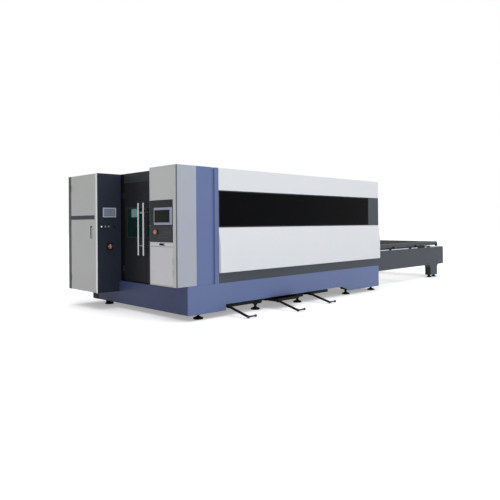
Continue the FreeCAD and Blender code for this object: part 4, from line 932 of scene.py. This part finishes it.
footShape = dict(
    steps=32, rubber=0.006, rubberIn=0.004, pad=0.026, packedPad=0.025, crown=0.90, waist=0.62, ease=0.006,
    neck=0.042, shaft=0.046, neckOut=0.008, stem=0.022,
    nutDrop=0.022, nutLowest=0.035, slope=0.060, bracketFrom=0.9, bracketOut=0.03,
    nutProfile=[(0, 0.021), (0, 0.03096), (0.003, 0.036), (0.017, 0.036), (0.020, 0.03096), (0.020, 0.021)],
)


def buildFeet(
        steps, rubber, rubberIn, pad, packedPad, crown, waist, ease, neck, shaft, neckOut, stem, nutDrop,
        nutLowest, slope, bracketFrom, bracketOut, nutProfile):
    pads, brackets = [], []
    for points in solidsOf("levelling_feet"):
        flat = [v for v in points if v.z < 0.001]
        x, y = (sum(v[i] for v in flat) / len(flat) for i in range(2))

        def reach(v):
            return math.hypot(v.x - x, v.y - y)

        radius = max(reach(v) for v in flat)
        top = max(v.z for v in points)
        square = [v for v in points if v.z > bracketFrom * top and reach(v) > bracketOut]
        stemTop = min(v.z for v in points if v.z > packedPad)
        pads.append(turned([
            (0, radius - rubberIn), (rubber, radius), (pad - ease, radius),
            (pad, radius * crown), (pad + ease, radius * waist),
            (neck, stem + neckOut), (shaft, stem), (stemTop + 0.002, stem)],
            (x, y, 0), (0, 0, 1), steps))
        nut = stemTop - nutDrop
        if nut > nutLowest:
            pads.append(turned(nutProfile, (x, y, nut), (0, 0, 1), 6, isClosed=False))
        if square:
            low, high = spanOf(square)

            def slopeEnds(part):
                lower = [v for v in part.verts if v.co.z < stemTop + 0.001]
                bmesh.ops.scale(part, vec=(1 - 2 * slope / (high.x - low.x), 1, 1), verts=lower,
                                space=Matrix.Translation((-x, 0, 0)))

            brackets.append(block((low.x, low.y, stemTop), (high.x, high.y, top), 0.003, 2, slopeEnds))
    makePiece("footPads", "machine", "blackOxide", pads, ["levelling_feet"])
    makePiece("footBrackets", "machine", "blackOxide", brackets)


towShape = dict(
    radius=0.0195, barStart=0.010, slopeDeg=14.5, reach=0.420,
    eye=0.020, eyeLength=0.044, bore=0.0083,
    # along the grip: the knob's two ends and the cap's two ends, as distance from that end and radius
    knob=0.050, knobNear=[(0, 0), (0.001, 0.011), (0.006, 0.018), (0.014, 0.0205)],
    knobFar=[(-0.014, 0.0205), (-0.005, 0.017), (0, 0.011)],
    length=0.190, capLength=0.026, capNear=[(0, 0.010), (0.003, 0.0195)],
    capFar=[(-0.005, 0.0195), (0, 0.011)],
    ribs=9, core=0.010,
    rib=[(0.2, 0.0105), (0.35, 0.0135), (0.75, 0.0135), (0.9, 0.0105)],  # share of the pitch, radius
)


def moved(profile, distance):
    return [(distance + along, radius) for along, radius in profile]


def buildTowBar(
        word, radius, barStart, slopeDeg, reach, eye, eyeLength, bore, knob, knobNear, knobFar,
        length, capLength, capNear, capFar, ribs, core, rib):
    node, body = word + "_tow_bar", word + "_bar"
    low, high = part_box(node)
    hinge = Vector((low.x + eyeLength / 2, high.y - eye, high.z - eye))
    slope = math.radians(slopeDeg)
    direction = Vector((0, -math.cos(slope), -math.sin(slope)))
    end = hinge + reach * direction
    makePiece(word + "TowBar", body, "blackOxide", [
        turned(rounded(eyeLength, eye, 0.002), (low.x, hinge.y, hinge.z), (1, 0, 0), 28, bore),
        rod(hinge + direction * barStart, end, radius, 20, 0.002)], [node])
    # a knob on the bar's end, then the ribbed grip and its end cap
    start = (hinge.x - radius, end.y, end.z)
    cap = length - capLength
    makePiece(word + "TowKnob", body, "gasketRubber", [
        turned(knobNear + moved(knobFar, knob), start, (1, 0, 0), 24),
        turned(moved(capNear, cap) + moved(capFar, length), start, (1, 0, 0), 24)])
    pitch = (cap - knob) / ribs
    profile = [(knob - 0.002, core)]
    for index in range(ribs):
        profile += [(knob + (index + share) * pitch, wide) for share, wide in rib]
    profile.append((cap + 0.001, core))
    makePiece(word + "TowGrip", body, "gripVinyl", [turned(profile, start, (1, 0, 0), 24)])


buildFeet(**footShape)
for word in ("first", "second", "third"):
    buildTowBar(word, **towShape)
print("feet and tow bars ready")


# --- exchange table and pallets ---

palletShape = dict(
    beam=0.060, beamInset=0.033, lift=0.0257, clear=0.0003, lap=0.001, spineDrop=0.072,
    wheels=4, wheelFirst=0.085, wheelPitch=1.040, wheelRadius=0.028, wheelSteps=28,
    # (along the axle, radius): hub, flange, tread and axle bolt
    wheel=[(0, 0.010), (0.002, 0.016), (0.002, 0.024), (0.004, 0.028), (0.024, 0.028), (0.026, 0.024),
           (0.026, 0.012), (0.034, 0.011)],
    stopWide=0.040, stopReach=0.036, stopStart=0.030, stopOut=0.004, stopFoot=0.003,
    stopDrop=0.014, stopCrest=0.020,
)
slatShape = dict(count=24, thick=0.005, height=0.072, tooth=0.016, pitch=0.062)


def sawSlat(teeth, wide, slats):
    # a grid stood upright across the pallet, every other point of its upper edge raised, then thickened
    slat = bmesh.new()
    web = slats["height"] - slats["tooth"]
    bmesh.ops.create_grid(slat, x_segments=2 * teeth, y_segments=1, size=0.5)
    bmesh.ops.scale(slat, vec=(wide, web, 1), verts=slat.verts)
    bmesh.ops.rotate(slat, cent=(0, 0, 0), matrix=Matrix(((0, 0, 1), (1, 0, 0), (0, 1, 0))), verts=slat.verts)
    rim = sorted((v for v in slat.verts if v.co.z > 0), key=lambda v: v.co.y)
    bmesh.ops.translate(slat, vec=(0, 0, slats["tooth"]), verts=rim[1::2])
    bmesh.ops.translate(slat, vec=(-slats["thick"] / 2, 0, web / 2 - slats["height"]), verts=slat.verts)
    grown = bmesh.ops.extrude_face_region(slat, geom=list(slat.faces), use_keep_orig=True)["geom"]
    bmesh.ops.translate(slat, vec=(slats["thick"], 0, 0),
                        verts=[item for item in grown if isinstance(item, bmesh.types.BMVert)])
    return slat


def buildPallet(
        node, body, slats, beam, beamInset, lift, clear, lap, spineDrop, wheels, wheelFirst, wheelPitch,
        wheelRadius, wheelSteps, wheel, stopWide, stopReach, stopStart, stopOut, stopFoot, stopDrop,
        stopCrest):
    low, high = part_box(node)
    beamLow = Vector((low.x, low.y + beamInset, low.z + lift))
    beamHigh = Vector((high.x, high.y - beamInset, high.z))
    track = low.z - clear
    middle = (low.y + high.y) / 2
    makePiece(node + "Frame", body, "darkGreyPowderCoat", [
        block(beamLow, (beamHigh.x, beamLow.y + beam, beamHigh.z), 0.004),
        block((beamLow.x, beamHigh.y - beam, beamLow.z), beamHigh, 0.004),
        *(block((x, beamLow.y + beam - lap, beamLow.z), (x + beam, beamHigh.y - beam + lap, beamHigh.z), 0.004)
          for x in (beamLow.x, beamHigh.x - beam)),
        block((beamLow.x + beam - lap, middle - beam / 2, beamLow.z),
              (beamHigh.x - beam + lap, middle + beam / 2, beamHigh.z - spineDrop), 0.003)], [node])
    # flanged track wheels with their hubs and axle bolts
    axle = track + wheelRadius + clear
    makePiece(node + "Wheels", body, "blackOxide", [
        turned(wheel, (low.x + wheelFirst + index * wheelPitch, y, axle), (0, inward, 0), wheelSteps)
        for index in range(wheels) for y, inward in ((low.y, 1), (high.y, -1))])
    # sloped end stops on the side beams

    def slopeStop(part):
        crest = [v for v in part.verts if v.co.z > beamHigh.z - stopCrest and v.co.x > beamHigh.x + 0.001]
        bmesh.ops.translate(part, vec=(-stopReach / 2, 0, 0), verts=crest)

    makePiece(node + "Stops", body, "blackOxide", [
        block((beamHigh.x - stopStart, y, track + stopFoot),
              (beamHigh.x + stopReach, y + stopWide, beamHigh.z - stopDrop), 0.003, 2, slopeStop)
        for y in (beamLow.y - stopOut, beamHigh.y + stopOut - stopWide)])
    # saw-toothed support slats
    inside = beamHigh.y - beamLow.y - 2 * beam
    free = beamHigh.x - beamLow.x - 2 * beam
    shapes = []
    for index in range(slats["count"]):
        slat = sawSlat(round(inside / slats["pitch"]), inside, slats)
        place = (beamLow.x + beam + free * (index + 0.5) / slats["count"], middle, beamHigh.z)
        bmesh.ops.translate(slat, vec=place, verts=slat.verts)
        shapes.append(slat)
    makePiece(node + "Slats", body, "cutSteel", shapes,
              ["outer_pallet_slats"] if node == "outer_pallet" else ())


buildPallet("outer_pallet", "outer_table", slatShape, **palletShape)
buildPallet("inner_pallet", "inner_table", slatShape, **palletShape)
print("pallets ready")


tableTrim = dict(
    skirtRise=0.263, boltFirst=0.10, boltPitch=0.46, boltInset=0.045,
    bolt=[(0, 0.011), (0.005, 0.011), (0.006, 0.009)],
    clips=[(1.034, 0.090), (1.923, 0.120), (2.343, 0.360), (2.803, 0.160)],  # start and length along x
    inset=0.0005, thick=0.0058, clipSink=0.002, clipRise=0.040,
    legOffset=0.340, legWidth=0.350, legDepth=0.150, hollowX=(-0.0008, 0.004),
    hollowInset=(0.006, 0.004), hollowLift=0.0005, hollowTall=0.190,
)


def buildTableTrim(
        skirtRise, boltFirst, boltPitch, boltInset, bolt, clips, inset, thick, clipSink, clipRise,
        legOffset, legWidth, legDepth, hollowX, hollowInset, hollowLift, hollowTall):
    low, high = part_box("table_frame")
    rows = (low.z + skirtRise + boltInset, high.z - boltInset)
    columns = math.ceil((high.x - boltFirst / 2 - low.x - boltFirst) / boltPitch)
    makePiece("tableBolts", "machine", "blackOxide", [
        turned(bolt, (low.x + boltFirst + index * boltPitch, y, z), (0, outward, 0), 6)
        for index in range(columns) for y, outward in ((low.y, -1), (high.y, 1)) for z in rows])
    # clips and a splice plate hold the upper rail on the table's side
    makePiece("railClips", "machine", "blackOxide", [
        block((low.x + first, y, high.z - clipSink),
              (low.x + first + length, y + thick, high.z + clipRise), 0.002)
        for first, length in clips for y in (low.y + inset, high.y - inset - thick)])
    # painted shade: the legs are channels, and black plates on their open side stand for the shadow inside
    near, far = (high.x - legOffset - legWidth + x for x in hollowX)
    front, back = hollowInset
    makePiece("legHollows", "machine", "gasketRubber", [
        block((near, y + front, low.z + hollowLift), (far, y + legDepth - back, low.z + hollowTall),
              0.0005) for y in (low.y, high.y - legDepth)])


buildTableTrim(**tableTrim)
print("table ready")


# --- window gasket, service side and base ---

windowTrim = dict(wide=0.016, rise=0.004, lap=0.001)


def buildWindowTrim(wide, rise, lap):
    low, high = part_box("side_window")
    makePiece("windowGasket", "machine", "gasketRubber", [
        ring((low.x + lap, low.y - rise, low.z + lap), (high.x - lap, low.y + lap, high.z - lap),
             1, wide, 0.0015)])


portTrim = dict(
    bore=0.1255, flange=[(0, 0.150), (0.005, 0.150), (0.006, 0.149)], height=0.335, place=-1.338,
    depth=0.060, bolts=8, boltCircle=0.138,
    bolt=[(0.005, 0), (0.005, 0.006), (0.009, 0.006), (0.010, 0.004)],
)


def buildPort(bore, flange, height, place, depth, bolts, boltCircle, bolt):
    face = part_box("rear_skirts")[1].y - depth
    shapes = [turned(flange, (place, face, height), (0, 1, 0), 48, bore)]
    for index in range(bolts):
        turn = 2 * math.pi * index / bolts
        x, z = (boltCircle * share for share in (math.cos(turn), math.sin(turn)))
        shapes.append(turned(bolt, (place + x, face, height + z), (0, 1, 0), 12))
    makePiece("portFlange", "machine", "groundSteel", shapes)


louvreSizes = dict(
    rows=9, pitch=0.034, width=0.52, tall=0.020, rise=0.010, sink=0.001,
    bottomField=0.18, topField=0.52,
)


def buildLouvres(rows, pitch, width, tall, rise, sink, bottomField, topField):
    low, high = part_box("laser_cabinet_shell")
    middle, half = (low.x + high.x) / 2, width / 2
    shapes = []
    for base in (low.z + bottomField, high.z - topField):
        for row in range(rows):
            z = base + row * pitch

            def slopeTop(part):
                top = [v for v in part.verts if v.co.z > z + tall - 0.001 and v.co.y > high.y]
                bmesh.ops.translate(part, vec=(0, sink - rise, 0), verts=top)

            shapes.append(block((middle - half, high.y - sink, z), (middle + half, high.y + rise, z + tall),
                                form=slopeTop))
    makePiece("ventLouvres", "machine", "navyPowderCoat", shapes)


shoeSizes = dict(length=0.156, depth=0.050, tall=0.096, proud=0.006, over=0.003, lift=0.0005)


def buildCornerShoe(length, depth, tall, proud, over, lift):
    # black plate under the far corner of the base
    low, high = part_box("end_skirt")
    makePiece("cornerShoe", "machine", "blackOxide", [
        block((low.x - proud, high.y - length, low.z + lift),
              (low.x + depth, high.y + over, low.z + tall), 0.003)])


buildWindowTrim(**windowTrim)
buildPort(**portTrim)
buildLouvres(**louvreSizes)
buildCornerShoe(**shoeSizes)
print("service side ready")


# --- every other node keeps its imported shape, with rounded edges ---

nodesOfWidth = {
    0.008: ["lower_side_panel"],
    0.005: ["upper_side_panel"],
    0.004: ["side_skirt", "end_skirt", "corner_column", "corner_trim"],
    0.0025: ["console_fascia", "console_door", "laser_cabinet_door"],
    0.002: ["console_shell", "table_frame"],
    0.0015: ["keyboard_drawer"],
    0.001: ["side_window", "left_door_window", "right_door_window", "scrap_runners"],
    0.0008: ["first_scrap_drawer", "second_scrap_drawer", "third_scrap_drawer"],
}
usualWidth = 0.003
ownFinish = {
    # painted shade: the base's end takes the blue painted deeper
    "end_skirt": "deepBluePowderCoat",
    "laser_cabinet_door": "cabinetPowderCoat",
    "console_door": "consolePowderCoat",
    "keyboard_drawer": "consolePowderCoat",
}


def dressNode(node, width, finishName):
    bm = mergedCopy(node)
    bmesh.ops.dissolve_limit(bm, angle_limit=math.radians(1), verts=bm.verts, edges=bm.edges)
    sharp = [e for e in bm.edges if e.is_manifold and e.calc_face_angle(0) > math.radians(40)]
    roundEdges(bm, sharp, width)
    makePiece(node + "_dressed", frame["nodes"][node]["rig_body"], finishName, [bm], [node])


widthOf = {node: width for width, nodes in nodesOfWidth.items() for node in nodes}
for node in sorted(set(frame["nodes"]) - dressed):
    dressNode(node, widthOf.get(node, usualWidth), ownFinish.get(node) or finishFor(slotOf[node]))
print("nodes dressed:", len(dressed))
